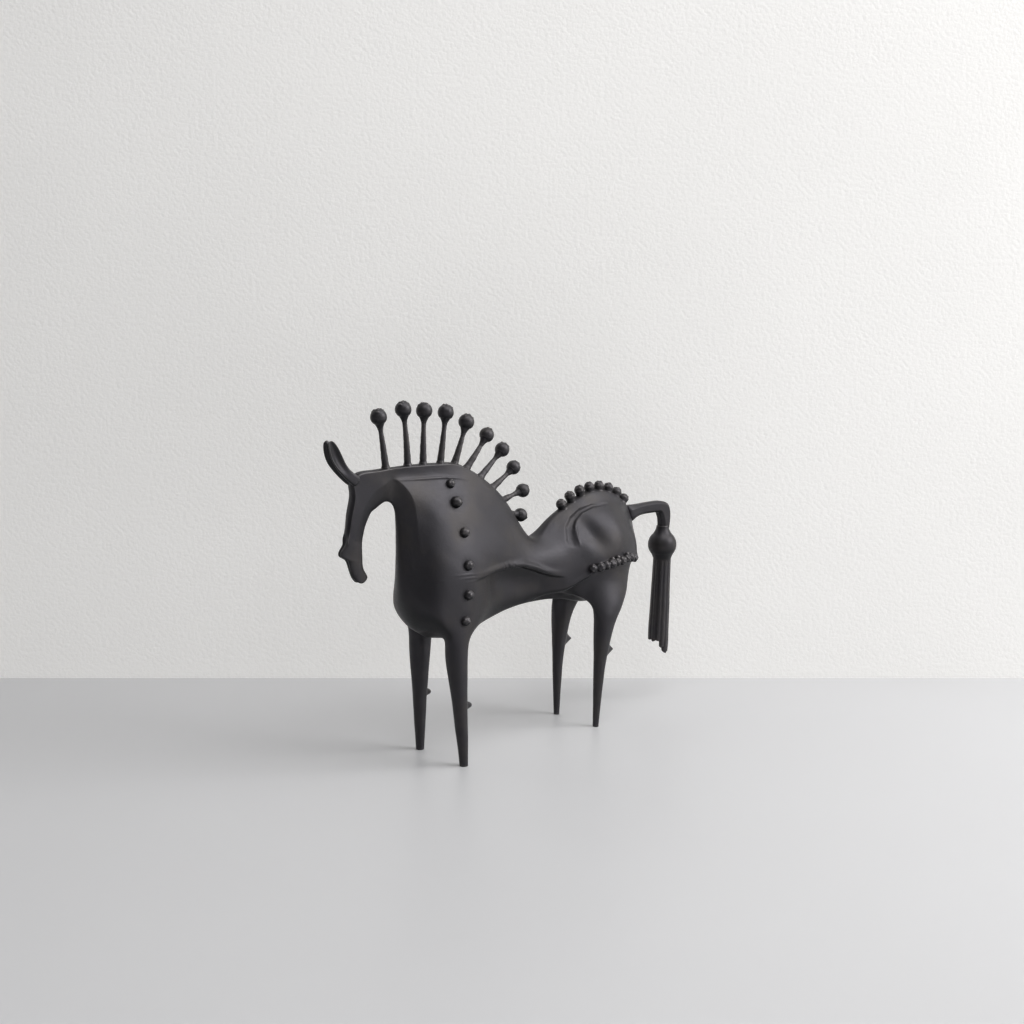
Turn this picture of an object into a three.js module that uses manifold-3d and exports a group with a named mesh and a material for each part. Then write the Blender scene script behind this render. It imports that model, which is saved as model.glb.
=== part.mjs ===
// Cast bronze horse, standing. Millimetres, +Z up, the horse faces -X and its left side is -Y.
// The skin is one smooth form, drawn as a coarse cage of points that lie on the surface. It is
// subdivided, then parted into castings that plug together with round tenons.
import * as THREE from 'three';
import Module from 'manifold-3d';
import { mergeVertices } from 'three/addons/utils/BufferGeometryUtils.js';

const wasm = await Module();
wasm.setup();

// Driving dimensions
const GAP = 0.3;               // clearance between pieces that touch
const SKIN_LEVELS = 1;         // subdivisions of the cage
const SMALL_SIDES = 8;         // sides of a round bead, stud or pin
const NECK_JOINT_X = -126;     // plane where the head casting meets the neck
const WAIST_JOINT_X = 16;      // plane where the two body castings meet
const FRONT_LEG_JOINT_Z = 88;
const REAR_LEG_JOINT_Z = 94;
const LEG_TENON = { radius: 4.2, length: 13 };
const HEAD_TENON = { radius: 2.1, length: 11, z: 210 };
const WAIST_SPIGOT = { radius: 10, bore: 7.5, length: 9, z: 131 };
const BORE_REACH = { forward: 70, back: 60 };    // how far the waist bore runs into the cores
const ROOTED = 3;              // how far a tenon or pin starts inside its own piece
const PEG_RADIUS = 1.4;
const PEG_LENGTH = 5;
const EAR_PEG = { radius: 1.1, length: 4 };
const TAIL_TENON = { radius: 3, length: 11 };
const TASSEL_PIN = { radius: 2, length: 13 };
const PIN_SEAT = 1.2;          // depth of the spot face that a mane pin stands in
const STUD_SEAT = 1.6;         // depth of the spot face that a shoulder stud sits in
const BEAD_RISE = 0.8;         // how far the middle of a haunch bead stands off the flank
const CROUP_BEAD_RADIUS = 4.1;
const HAUNCH_BEAD_RADIUS = 3.6;
const FORE_CORE = { centre: [-62, 0, 150], radii: [34, 18.5, 36] };
const HIND_CORE = { centre: [86, 0, 146], radii: [30, 18.5, 27] };

const BRONZE = { color: 0x26262a, roughness: 0.5, metalness: 0.85 };

// The cage of the left half: each row runs from the front of the horse to its rump, and the
// rows go from the top line down to the belly. A point is [x, distance from the middle, z].
const NECK_TOP_ROWS = [
  // top line of neck, saddle and croup
  [[-111, 0, 221.2], [-92, 0, 221.6], [-70, 0, 221.2], [-52, 0, 218.6], [-28, 0, 205.4],
    [-6, 0, 184.5], [16, 0, 157.6], [36, 0, 166.5], [57, 0, 178.2], [82, 0, 187.4],
    [104, 0, 185.2], [121, 0, 176], [129, 0, 168.5]],
  // edge of the crest
  [[-111, 3.8, 220.3], [-92, 4.1, 220.6], [-70, 4.3, 220.1], [-52, 4.4, 217.2], [-28, 4.6, 203.6],
    [-6, 4.8, 183], [15, 5.5, 157], [36, 4.6, 164.6], [57, 4.6, 176.2], [82, 4.8, 185.4],
    [104, 4.6, 183.2], [120, 4, 174], [131, 0, 163.5]],
];
const FLANK_ROWS = [
  // crease under the crest, from the arch of the throat
  [[-113, 0, 194.5], [-111.2, 3.9, 212], [-91, 5, 211.3], [-69, 5.8, 210.8], [-50, 6.6, 208.6],
    [-29, 7.2, 198], [-9, 8.2, 178], [13, 10, 154.6], [38, 8.4, 159.6], [58, 8.4, 170.8],
    [82, 8.8, 178.6], [105, 8.4, 176.6], [120, 7, 168], [132, 0, 158]],
  // upper flank
  [[-109.6, 0, 186], [-101.5, 9.5, 198], [-88, 10.6, 199], [-68, 11.2, 198], [-48, 11.2, 195],
    [-29, 11.2, 184], [-9, 12, 166], [12, 13.6, 149.6], [39, 13.4, 153], [59, 14, 163.4],
    [82, 15.4, 171], [106, 14.4, 168.4], [120.5, 10, 161], [132.8, 0, 152]],
  [[-108.4, 0, 172], [-99.4, 12, 177], [-86, 16, 179], [-67, 17.4, 179], [-46, 17, 177],
    [-26, 15.8, 168], [-7, 15.2, 154], [11, 16.4, 143.6], [40, 17.6, 144.6], [60, 20, 152.6],
    [83, 22.4, 160], [106, 20.2, 158], [121.5, 13, 152.6], [133, 0, 145]],
  // ridge of the waist, widest line of the shoulder and haunch
  [[-108, 0, 154], [-98.8, 13.8, 155], [-86.6, 21.2, 157], [-66, 24.2, 157], [-44, 23, 154],
    [-23, 20, 147], [-5, 18.4, 138.6], [13, 18.4, 132.6], [40, 20, 132.6], [61, 24.2, 139.6],
    [84, 27.6, 146.6], [107, 24, 145.6], [122.4, 15.4, 143], [132.6, 0, 137]],
  [[-106.8, 0, 134], [-99.3, 16.8, 133], [-87, 25.8, 136], [-66, 28, 136], [-43, 24.6, 135],
    [-24, 17, 131], [-5, 14, 127], [14, 16, 122], [40, 20.4, 120], [60, 25.4, 128],
    [84, 29.4, 133.6], [107, 26, 133.4], [121, 17, 132], [130.5, 0, 128]],
  [[-103, 0, 117], [-96, 22, 116], [-85.6, 27.4, 115], [-68, 28.8, 114], [-47, 23.6, 115],
    [-27, 14, 117], [-6, 11, 117], [14, 12.4, 113.6], [40, 15.6, 111], [60, 23.4, 114],
    [83, 29.4, 118], [105, 26.4, 118], [116, 16, 118], [122, 0, 117]],
  // outer root of the legs
  [[-96.6, 0, 104], [-89.4, 20, 103.6], [-81, 26, 98], [-71.6, 28.6, 97], [-60, 25, 98],
    [-33, 11, 103], [-8, 7.4, 107.6], [15, 8, 108.4], [42, 9.6, 107], [63, 23, 101],
    [80, 31, 99], [98, 27.4, 101], [108, 15, 106], [112, 0, 108]],
  // inner root of the legs
  [[-90, 0, 98], [-86, 12, 98.4], [-80, 15.4, 95], [-71.6, 13.6, 93.6], [-61, 14.6, 95.6],
    [-38, 6.6, 98.6], [-11, 4, 103.6], [15, 4.2, 106.6], [44, 5.4, 105.2], [66.8, 15.2, 100.6],
    [79, 13.4, 98], [94, 14.4, 99], [100, 7.6, 102.6], [102, 0, 103]],
  // middle of the belly
  [[-84, 0, 94], [-82, 0, 93.4], [-77, 0, 92.6], [-71.6, 0, 92], [-63, 0, 93.4],
    [-40, 0, 97.4], [-13, 0, 102.8], [15, 0, 106.2], [45, 0, 104.6], [66, 0, 99.8],
    [78, 0, 98.6], [88, 0, 99.6], [92, 0, 100.4], [95, 0, 101.4]],
];
// The head is a tube on the front of the neck. Each ring is the middle of the top or brow, its
// edge, the ridge of the side face and the keel behind the jaw.
const HEAD_RINGS = [
  [[-120, 0, 221], [-120, 3.8, 219.9], [-119.4, 3.9, 211], [-119.4, 0, 197]],
  [[-131, 0, 220.4], [-131, 3.8, 219.4], [-127.6, 3.9, 207], [-126.4, 0, 193.4]],
  [[-142, 0, 219.6], [-142, 3.8, 218.6], [-134, 3.9, 202], [-131, 0, 190.6]],
  [[-148.4, 0, 213.4], [-147.6, 3.8, 212.6], [-139, 3.8, 195], [-134, 0, 186]],
  [[-147.4, 0, 204], [-146.8, 4, 203.6], [-143, 3.8, 187.4], [-136.2, 0, 181.4]],
  [[-150.2, 0, 191], [-149.6, 3.9, 190.6], [-145.6, 3.6, 179.6], [-137.8, 0, 176.4]],
  [[-152.4, 0, 179], [-151.8, 3.4, 178.8], [-146, 3.2, 172.4], [-139, 0, 171.4]],
  [[-153.8, 0, 170.4], [-153.2, 3, 170], [-144, 2.9, 165.6], [-139.6, 0, 165.6]],
  [[-157.6, 0, 165.4], [-156.6, 2.5, 164.6], [-144, 2.8, 160.4], [-139.6, 0, 160.8]],
  [[-156.4, 0, 161.6], [-155.4, 2.5, 161.2], [-143.6, 2.8, 158.2], [-139.6, 0, 158.4]],
  [[-152.4, 0, 159.8], [-151.6, 2.4, 158.4], [-143, 2.7, 155.2], [-139.4, 0, 155.2]],
  [[-149.8, 0, 152.4], [-149, 2.4, 151.6], [-141.8, 2.7, 149.4], [-137.6, 0, 149.6]],
  [[-146, 0, 144.6], [-145, 2.3, 143.4], [-140, 2.7, 142.6], [-135.8, 0, 144.6]],
];
// Legs: rings round the leg from its front outer point, outside, back, then inside. A ring is
// its centre, half length along x, half width across and height.
const FRONT_LEG = [
  { x: -72.6, y: 21.6, a: 8.4, b: 7.8, z: 82 },
  { x: -72, y: 22.8, a: 6.7, b: 6.4, z: 60 },
  { x: -71.2, y: 24.2, a: 5.1, b: 5, z: 36 },
  { x: -70.4, y: 25.4, a: 3.8, b: 3.8, z: 14 },
  { x: -70, y: 26, a: 3.1, b: 3.1, z: 0 },
];
const REAR_LEG = [
  { x: 77.4, y: 24.4, a: 9.6, b: 7.4, z: 84 },
  { x: 74, y: 24.2, a: 6.4, b: 5.6, z: 64 },
  { x: 71.8, y: 23.7, a: 4.2, b: 4, z: 40 },
  { x: 70.6, y: 23.1, a: 3, b: 2.9, z: 16 },
  { x: 70, y: 22.7, a: 2.3, b: 2.3, z: 0 },
];
const RING_ANGLES = [35, 90, 145, 215, 270, 325];

// Mane pins: foot on the crest and centre of the ball, in the middle plane, with ball diameter.
const MANE_PINS = [
  { foot: [-118, 221], ball: [-123.5, 256.7], size: 11.7 },
  { foot: [-98.7, 221.6], ball: [-102.1, 261], size: 11.7 },
  { foot: [-84.8, 221.6], ball: [-83.3, 259.2], size: 11.7 },
  { foot: [-68.9, 221.2], ball: [-63.6, 257], size: 11.7 },
  { foot: [-55.7, 219.4], ball: [-44.3, 249.1], size: 11.7 },
  { foot: [-44, 215.4], ball: [-24.7, 238.4], size: 11 },
  { foot: [-30.8, 207.4], ball: [-9.4, 226.4], size: 11 },
  { foot: [-19.5, 198.2], ball: [1.9, 212], size: 10.7 },
  { foot: [-9, 187.8], ball: [11.5, 193.5], size: 10.6 },
  { foot: [1.1, 176], ball: [9.3, 174.8], size: 10.3 },
];
const STEM_FOOT = 2.8;
const STEM_NECK = 1.6;

// Croup beads along the back line, from the saddle to the tail, and the middle of their fan
const CROUP_BEADS = [[51.9, 179.5], [61.3, 185], [72, 188.8], [83, 190.6], [94.3, 190.4],
  [105.2, 188], [115, 183.6], [123.4, 177.4]];
const CROUP_FAN = new THREE.Vector3(87, 0, 142);
// Studs down the shoulder: x and z on the flank, and radius
const SHOULDER_STUDS = [[-66, 206, 3.4], [-64.6, 193, 4.4], [-63, 171.4, 3.8],
  [-64.6, 148.4, 3.9], [-66.6, 127.4, 3.9], [-69.6, 108.6, 3.6]];
// Beads round the haunch: x and z on the flank
const HAUNCH_BEADS = [[61.6, 129.8], [67.2, 130.8], [72.8, 131.6], [78.4, 132.4], [84, 133.2],
  [89.6, 133.8], [95, 134.4], [100.2, 134.6], [105, 134]];

// Ears: centre line from the poll to the tip, [x, distance from the middle, z], with the half
// depth seen from the side and the half width seen from the front
const EAR = [
  { at: [-147.4, 2.1, 215.2], deep: 3.6, wide: 1.9 },
  { at: [-152.8, 2.3, 219.4], deep: 3.8, wide: 2.1 },
  { at: [-156.8, 2.6, 223.8], deep: 4, wide: 2.4 },
  { at: [-160.2, 2.75, 228.8], deep: 4.5, wide: 2.55 },
  { at: [-162.6, 2.75, 234], deep: 4.2, wide: 2.45 },
  { at: [-164.6, 2.65, 239.2], deep: 3.2, wide: 2 },
  { at: [-166.2, 2.5, 243.4], deep: 1.5, wide: 1.2 },
];
// Tail bar: from the rump, round the elbow and down to the tassel
const TAIL_BAR = [
  { at: [133.6, 0, 165.2], deep: 6, wide: 4.7 },
  { at: [141, 0, 166.2], deep: 4.8, wide: 4.2 },
  { at: [155, 0, 166.6], deep: 4.7, wide: 4 },
  { at: [166, 0, 166.4], deep: 4.8, wide: 4.3 },
  { at: [171.4, 0, 162.8], deep: 6.4, wide: 4.6 },
  { at: [172.6, 0, 156.6], deep: 5.5, wide: 4.7 },
  { at: [172.4, 0, 150.4], deep: 5, wide: 4.8 },
];
const TASSEL = {
  ball: new THREE.Vector3(171.2, 0, 133.4), ballRadius: 12.1,
  neck: [[0, 7], [9, 7], [6.9, 10.8], [5.4, 14], [5, 16.4], [0, 16.4]],
  top: { x: 171.4, z: 125, radius: 7 }, bottom: { x: 167.4, z: 46.6, radius: 8.8 },
  flutes: 12, fluteDepth: 0.8, slant: 6, sides: 16,
};
// Swellings on the back of each leg: a round bead in front, a pointed spur behind
const KNEE_BEAD = { at: [-64.6, 24, 44.6], radius: 3.2 };
const HOCK_SPUR = {
  at: [77, 24, 62.4], flat: 0.6,
  profile: [[0, -2], [5.2, -2], [2.6, 5.2], [1, 10.2], [0, 11.2]],
};

// ---- Subdivision surface -------------------------------------------------------------------

const edgeKey = (a, b) => (a < b ? `${a}_${b}` : `${b}_${a}`);

// Neighbours of every point and the two faces on every edge
function connect(cage) {
  const edges = new Map();
  const around = cage.points.map(() => ({ faces: [], edges: [] }));
  cage.faces.forEach((face, f) => {
    face.forEach((a, k) => {
      const b = face[(k + 1) % face.length];
      const key = edgeKey(a, b);
      if (!edges.has(key)) {
        edges.set(key, { a, b, faces: [], sharp: cage.creases.has(key) });
        around[a].edges.push(key);
        around[b].edges.push(key);
      }
      edges.get(key).faces.push(f);
      around[a].faces.push(f);
    });
  });
  return { edges, around };
}

const average = (list) => list.reduce((sum, p) => sum.add(p), new THREE.Vector3())
  .divideScalar(list.length);

// One Catmull-Clark step. Creased edges stay sharp.
function subdivide(cage) {
  const { edges, around } = connect(cage);
  const P = cage.points;
  const facePoints = cage.faces.map((face) => average(face.map((v) => P[v])));
  const points = around.map((ring, v) => {
    const sharp = ring.edges.filter((key) => edges.get(key).sharp);
    const far = (key) => P[edges.get(key).a === v ? edges.get(key).b : edges.get(key).a];
    if (sharp.length === 2) {
      return P[v].clone().multiplyScalar(0.75)
        .addScaledVector(far(sharp[0]), 0.125).addScaledVector(far(sharp[1]), 0.125);
    }
    if (sharp.length > 2) return P[v].clone();
    const n = ring.edges.length;
    const Q = average(ring.faces.map((f) => facePoints[f]));
    const R = average(ring.edges.map((key) => average([P[v], far(key)])));
    return P[v].clone().multiplyScalar((n - 3) / n).addScaledVector(Q, 1 / n)
      .addScaledVector(R, 2 / n);
  });
  const faceStart = points.length;
  points.push(...facePoints);
  const edgeIndex = new Map();
  for (const [key, edge] of edges) {
    const ends = [P[edge.a], P[edge.b]];
    edgeIndex.set(key, points.length);
    points.push(average(edge.sharp ? ends : [...ends, ...edge.faces.map((f) => facePoints[f])]));
  }
  const faces = [];
  const creases = new Set();
  cage.faces.forEach((face, f) => {
    face.forEach((v, k) => {
      const next = edgeIndex.get(edgeKey(v, face[(k + 1) % face.length]));
      const back = edgeIndex.get(edgeKey(v, face[(k + face.length - 1) % face.length]));
      faces.push([v, next, faceStart + f, back]);
    });
  });
  for (const key of cage.creases) {
    const edge = edges.get(key);
    if (!edge) continue;
    creases.add(edgeKey(edge.a, edgeIndex.get(key)));
    creases.add(edgeKey(edge.b, edgeIndex.get(key)));
  }
  return { points, faces, creases };
}

// Where each point of a cage ends on the smooth surface
function limitPoints(cage) {
  const { edges, around } = connect(cage);
  const P = cage.points;
  const facePoints = cage.faces.map((face) => average(face.map((v) => P[v])));
  return around.map((ring, v) => {
    const far = (key) => P[edges.get(key).a === v ? edges.get(key).b : edges.get(key).a];
    const sharp = ring.edges.filter((key) => edges.get(key).sharp);
    if (sharp.length === 2) {
      return P[v].clone().multiplyScalar(4).add(far(sharp[0])).add(far(sharp[1]))
        .divideScalar(6);
    }
    if (sharp.length > 2) return P[v].clone();
    const n = ring.edges.length;
    const sum = P[v].clone().multiplyScalar(n * (n - 3));
    ring.edges.forEach((key) => sum.addScaledVector(average([P[v], far(key)]), 4));
    ring.faces.forEach((f) => sum.addScaledVector(facePoints[f], 4));
    return sum.divideScalar(n * (n + 5));
  });
}

// Moves a cage's points outwards until the smooth surface passes through where they were
function throughPoints(cage, rounds = 12) {
  const target = cage.points.map((p) => p.clone());
  let points = target.map((p) => p.clone());
  for (let i = 0; i < rounds; i += 1) {
    const reached = limitPoints({ ...cage, points });
    points = points.map((p, v) => p.clone().add(target[v]).sub(reached[v]));
  }
  return { ...cage, points };
}

// ---- Cage of the whole skin ----------------------------------------------------------------

function buildCage() {
  const points = [];
  const index = new Map();
  const faces = [];
  const creases = new Set();
  const add = ([x, w, z], side) => {
    const key = [x, (w * side).toFixed(3), z].join();
    if (!index.has(key)) {
      index.set(key, points.length);
      points.push(new THREE.Vector3(x, w * side, z));
    }
    return index.get(key);
  };
  // On the left side, -Y, a face is wound as given. On the right it is turned round.
  const addFace = (corners, side) => {
    const face = corners.map((corner) => add(corner, side));
    faces.push(side < 0 ? face : face.reverse());
  };
  const crease = (line, side) => {
    for (let i = 0; i + 1 < line.length; i += 1) {
      creases.add(edgeKey(add(line[i], side), add(line[i + 1], side)));
    }
  };
  const legRing = (leg) => RING_ANGLES.map((angle) => {
    const turn = THREE.MathUtils.degToRad(angle);
    return [leg.x - leg.a * Math.cos(turn), leg.y + leg.b * Math.sin(turn), leg.z];
  });
  const rows = [...NECK_TOP_ROWS.map((row) => [null, ...row]), ...FLANK_ROWS];
  const outerRoot = rows.length - 3;
  const legs = [{ from: 2, to: 4, rings: FRONT_LEG }, { from: 9, to: 11, rings: REAR_LEG }];
  for (const side of [-1, 1]) {
    for (let r = 0; r + 1 < rows.length; r += 1) {
      for (let s = 0; s + 1 < rows[r].length; s += 1) {
        const isLeg = r === outerRoot && legs.some(({ from, to }) => s >= from && s < to);
        if (rows[r][s] && !isLeg) {
          addFace([rows[r][s], rows[r + 1][s], rows[r + 1][s + 1], rows[r][s + 1]], side);
        }
      }
    }
    for (const { from, to, rings } of legs) {
      const outer = rows[outerRoot].slice(from, to + 1);
      const inner = rows[outerRoot + 1].slice(from, to + 1).reverse();
      const loops = [[...outer, ...inner], ...rings.map(legRing)];
      for (let i = 0; i + 1 < loops.length; i += 1) {
        loops[i].forEach((corner, k) => {
          const n = (k + 1) % loops[i].length;
          addFace([corner, loops[i + 1][k], loops[i + 1][n], loops[i][n]], side);
        });
      }
      const sole = loops[loops.length - 1];
      addFace([sole[0], sole[5], sole[4], sole[1]], side);
      addFace([sole[1], sole[4], sole[3], sole[2]], side);
      crease([...sole, sole[0]], side);
    }
    const neckEnd = [rows[0][1], rows[1][1], rows[2][1], rows[2][0]];
    const rings = [neckEnd, ...HEAD_RINGS];
    for (let i = 0; i + 1 < rings.length; i += 1) {
      for (let k = 0; k < 3; k += 1) {
        addFace([rings[i][k], rings[i + 1][k], rings[i + 1][k + 1], rings[i][k + 1]], side);
      }
    }
    const chin = rings[rings.length - 1];
    addFace([chin[0], chin[3], chin[2], chin[1]], side);
    crease(rings.slice(0, 9).map((ring) => ring[1]), side);
    crease(rings.slice(0, 8).map((ring) => ring[2]), side);
    crease(rows[1].slice(1, 8), side);
    crease(rows.slice(2, 6).map((row) => row[1]), side);
    crease(rows[5].slice(5, 9), side);
  }
  return { points, faces, creases };
}

// ---- Solids --------------------------------------------------------------------------------

function toSolid(geometry) {
  const bare = geometry.index ? geometry.toNonIndexed() : geometry.clone();
  bare.deleteAttribute('normal');
  bare.deleteAttribute('uv');
  const merged = mergeVertices(bare, 1e-4);
  return new wasm.Manifold(new wasm.Mesh({
    numProp: 3,
    vertProperties: new Float32Array(merged.attributes.position.array),
    triVerts: new Uint32Array(merged.index.array),
  }));
}

function toGeometry(solid) {
  const mesh = solid.getMesh();
  const geometry = new THREE.BufferGeometry();
  geometry.setAttribute('position', new THREE.BufferAttribute(mesh.vertProperties, 3));
  geometry.setIndex(new THREE.BufferAttribute(mesh.triVerts, 1));
  geometry.computeVertexNormals();
  return geometry;
}

function facesToGeometry({ points, faces }) {
  const geometry = new THREE.BufferGeometry();
  geometry.setAttribute('position',
    new THREE.Float32BufferAttribute(points.flatMap((p) => p.toArray()), 3));
  const triangles = [];
  for (const face of faces) {
    for (let k = 1; k + 1 < face.length; k += 1) triangles.push(face[0], face[k], face[k + 1]);
  }
  geometry.setIndex(triangles);
  return geometry;
}

// Turns geometry made along +Z so that +Z runs along the direction, and moves it to the place
function along(geometry, place, direction) {
  const turn = new THREE.Quaternion().setFromUnitVectors(new THREE.Vector3(0, 0, 1),
    direction.clone().normalize());
  return geometry.applyQuaternion(turn).translate(place.x, place.y, place.z);
}

// A round solid from a profile of [radius, height] points that starts and ends on the axis
function turned(profile, sides = SMALL_SIDES) {
  const outline = profile.map(([r, h]) => new THREE.Vector2(r, h));
  return new THREE.LatheGeometry(outline, sides).rotateX(Math.PI / 2);
}

function rod(radius, low, high, sides = SMALL_SIDES) {
  return turned([[0, low], [radius, low], [radius, high], [0, high]], sides);
}

// A closed skin over rings of points, each ring with the same number of points
function overRings(rings) {
  const n = rings[0].length;
  const points = rings.flat();
  const faces = [];
  for (let i = 0; i + 1 < rings.length; i += 1) {
    for (let k = 0; k < n; k += 1) {
      const next = (k + 1) % n;
      faces.push([i * n + k, i * n + next, (i + 1) * n + next, (i + 1) * n + k]);
    }
  }
  faces.push([...rings[0].keys()].reverse());
  faces.push([...rings[0].keys()].map((k) => (rings.length - 1) * n + k));
  return facesToGeometry({ points, faces });
}

// A bar whose centre line lies near a plane of constant y. extra makes it fatter and longer.
const BAR_SECTION = [[1, 0.5], [0.55, 1], [-0.55, 1], [-1, 0.5], [-1, -0.5], [-0.55, -1],
  [0.55, -1], [1, -0.5]];
function bar(stations, side, extra) {
  const centres = stations.map(({ at: [x, w, z] }) => new THREE.Vector3(x, w * side, z));
  const last = centres.length - 1;
  const rings = centres.map((centre, i) => {
    const run = centres[Math.min(i + 1, last)].clone().sub(centres[Math.max(i - 1, 0)])
      .setY(0).normalize();
    const up = new THREE.Vector3(-run.z, 0, run.x);
    const middle = centre.clone();
    if (i === 0) middle.addScaledVector(run, -extra);
    if (i === last) middle.addScaledVector(run, extra);
    return BAR_SECTION.map(([u, v]) => middle.clone()
      .addScaledVector(up, (stations[i].deep + extra) * u)
      .add(new THREE.Vector3(0, -(stations[i].wide + extra) * v, 0)));
  });
  return toSolid(overRings(rings));
}

function ball(centre, radius, sides = SMALL_SIDES) {
  return toSolid(new THREE.SphereGeometry(radius, sides, Math.round(sides * 0.6))
    .rotateX(Math.PI / 2).translate(centre.x, centre.y, centre.z));
}

function core({ centre, radii }) {
  return toSolid(new THREE.SphereGeometry(1, 16, 12).scale(...radii).translate(...centre));
}

// The block of space between two planes of constant x and above or below a height
const REACH = 500;
function block(x0, x1, y0, y1, z0, z1) {
  return toSolid(new THREE.BoxGeometry(x1 - x0, y1 - y0, z1 - z0)
    .translate((x0 + x1) / 2, (y0 + y1) / 2, (z0 + z1) / 2));
}

// ---- Pieces --------------------------------------------------------------------------------

const X_AXIS = new THREE.Vector3(1, 0, 0);
const Z_AXIS = new THREE.Vector3(0, 0, 1);
const SIDES = { left: -1, right: 1 };
const horse = new THREE.Group();

function addPiece(name, solid) {
  const mesh = new THREE.Mesh(toGeometry(solid), new THREE.MeshStandardMaterial(BRONZE));
  mesh.name = name;
  horse.add(mesh);
}

let cage = throughPoints(buildCage());
for (let level = 0; level < SKIN_LEVELS; level += 1) cage = subdivide(cage);
cage.points = limitPoints(cage);
const skinGeometry = facesToGeometry(cage);
const skin = toSolid(skinGeometry);
const skinMesh = new THREE.Mesh(skinGeometry, new THREE.MeshBasicMaterial({
  side: THREE.DoubleSide,
}));

// The point of the skin at x and z on one side, and the direction straight out of it there
function onFlank(x, z, side) {
  const caster = new THREE.Raycaster(new THREE.Vector3(x, side * REACH, z),
    new THREE.Vector3(0, -side, 0));
  const hit = caster.intersectObject(skinMesh)[0];
  const out = hit.face.normal.clone();
  return { place: hit.point, out: out.y * side < 0 ? out.negate() : out };
}

// Each of these makes a piece, or with extra the seat that it needs in its neighbour
function manePin({ foot, ball: tip, size }, extra) {
  const start = new THREE.Vector3(foot[0], 0, foot[1]);
  const end = new THREE.Vector3(tip[0], 0, tip[1]);
  const length = start.distanceTo(end);
  const radius = size / 2;
  const profile = [[0, -PEG_LENGTH - extra], [PEG_RADIUS + extra, -PEG_LENGTH - extra],
    [PEG_RADIUS + extra, -PIN_SEAT - extra], [STEM_FOOT + extra, -PIN_SEAT - extra],
    [STEM_FOOT + extra, 0], [(STEM_FOOT + STEM_NECK) / 2 + extra, length * 0.35]];
  const neck = Math.asin(STEM_NECK / radius);
  profile.push([STEM_NECK + extra, length - radius * 1.25]);
  for (let turn = neck + 0.25; turn < Math.PI - 0.2; turn += (Math.PI - neck) / 6) {
    profile.push([radius * Math.sin(turn) + extra, length - radius * Math.cos(turn)]);
  }
  profile.push([0, length + radius + extra]);
  return toSolid(along(turned(profile), start, end.sub(start)));
}

function croupBead([x, z], extra) {
  const centre = new THREE.Vector3(x, 0, z);
  const out = centre.clone().sub(CROUP_FAN).normalize();
  const peg = along(rod(PEG_RADIUS + extra, -CROUP_BEAD_RADIUS - PEG_LENGTH + 1 - extra, 0),
    centre, out);
  return ball(centre, CROUP_BEAD_RADIUS + extra).add(toSolid(peg));
}

function shoulderStud([x, z, radius], side, extra) {
  const { place, out } = onFlank(x, z, side);
  const profile = [[0, -PEG_LENGTH - extra], [PEG_RADIUS + extra, -PEG_LENGTH - extra],
    [PEG_RADIUS + extra, -STUD_SEAT - extra], [radius + extra, -STUD_SEAT - extra],
    [radius + extra, radius * 0.15], [radius * 0.86 + extra, radius * 0.6],
    [radius * 0.5 + extra, radius * 0.9], [0, radius + extra]];
  return toSolid(along(turned(profile), place, out));
}

function haunchBeads(side, extra) {
  let chain = null;
  HAUNCH_BEADS.forEach(([x, z], i) => {
    const { place, out } = onFlank(x, z, side);
    const centre = place.clone().addScaledVector(out, BEAD_RISE);
    let bead = ball(centre, HAUNCH_BEAD_RADIUS + extra);
    if (i === 1 || i === HAUNCH_BEADS.length - 2) {
      const depth = PEG_LENGTH + BEAD_RISE + extra;
      bead = bead.add(toSolid(along(rod(PEG_RADIUS + extra, -depth, 0), centre, out)));
    }
    chain = chain ? chain.add(bead) : bead;
  });
  return chain;
}

function ear(side, extra) {
  const root = new THREE.Vector3(EAR[0].at[0], EAR[0].at[1] * side, EAR[0].at[2]);
  const next = new THREE.Vector3(EAR[1].at[0], root.y, EAR[1].at[2]);
  const peg = along(rod(EAR_PEG.radius + extra, -EAR_PEG.length - extra, ROOTED), root,
    next.sub(root));
  return bar(EAR, side, extra).add(toSolid(peg));
}

function tailBar(extra) {
  const root = new THREE.Vector3(TAIL_BAR[0].at[0], 0, TAIL_BAR[0].at[2]);
  const foot = TAIL_BAR[TAIL_BAR.length - 1].at;
  const end = new THREE.Vector3(foot[0], 0, foot[2]);
  const tenon = along(rod(TAIL_TENON.radius + extra, -TAIL_TENON.length - extra, ROOTED), root,
    X_AXIS);
  const pin = along(rod(TASSEL_PIN.radius + extra, -TASSEL_PIN.length - extra, ROOTED), end,
    Z_AXIS);
  return bar(TAIL_BAR, 1, extra).add(toSolid(tenon)).add(toSolid(pin));
}

function tassel() {
  const { top, bottom, flutes, fluteDepth, slant, sides } = TASSEL;
  const around = flutes * 3;
  const rings = Array.from({ length: 6 }, (_, i) => {
    const t = 1 - i / 5;
    return Array.from({ length: around }, (__, k) => {
      const turn = (k / around) * 2 * Math.PI;
      const radius = THREE.MathUtils.lerp(top.radius, bottom.radius, t)
        - fluteDepth * (k % 3 === 0 ? 1 : 0);
      return new THREE.Vector3(
        THREE.MathUtils.lerp(top.x, bottom.x, t) + radius * Math.cos(turn),
        radius * Math.sin(turn),
        THREE.MathUtils.lerp(top.z, bottom.z, t) - slant * t * Math.cos(turn),
      );
    });
  });
  const neck = turned(TASSEL.neck, sides).translate(TASSEL.ball.x, 0, TASSEL.ball.z);
  return toSolid(overRings(rings)).add(ball(TASSEL.ball, TASSEL.ballRadius, sides))
    .add(toSolid(neck));
}

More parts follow.
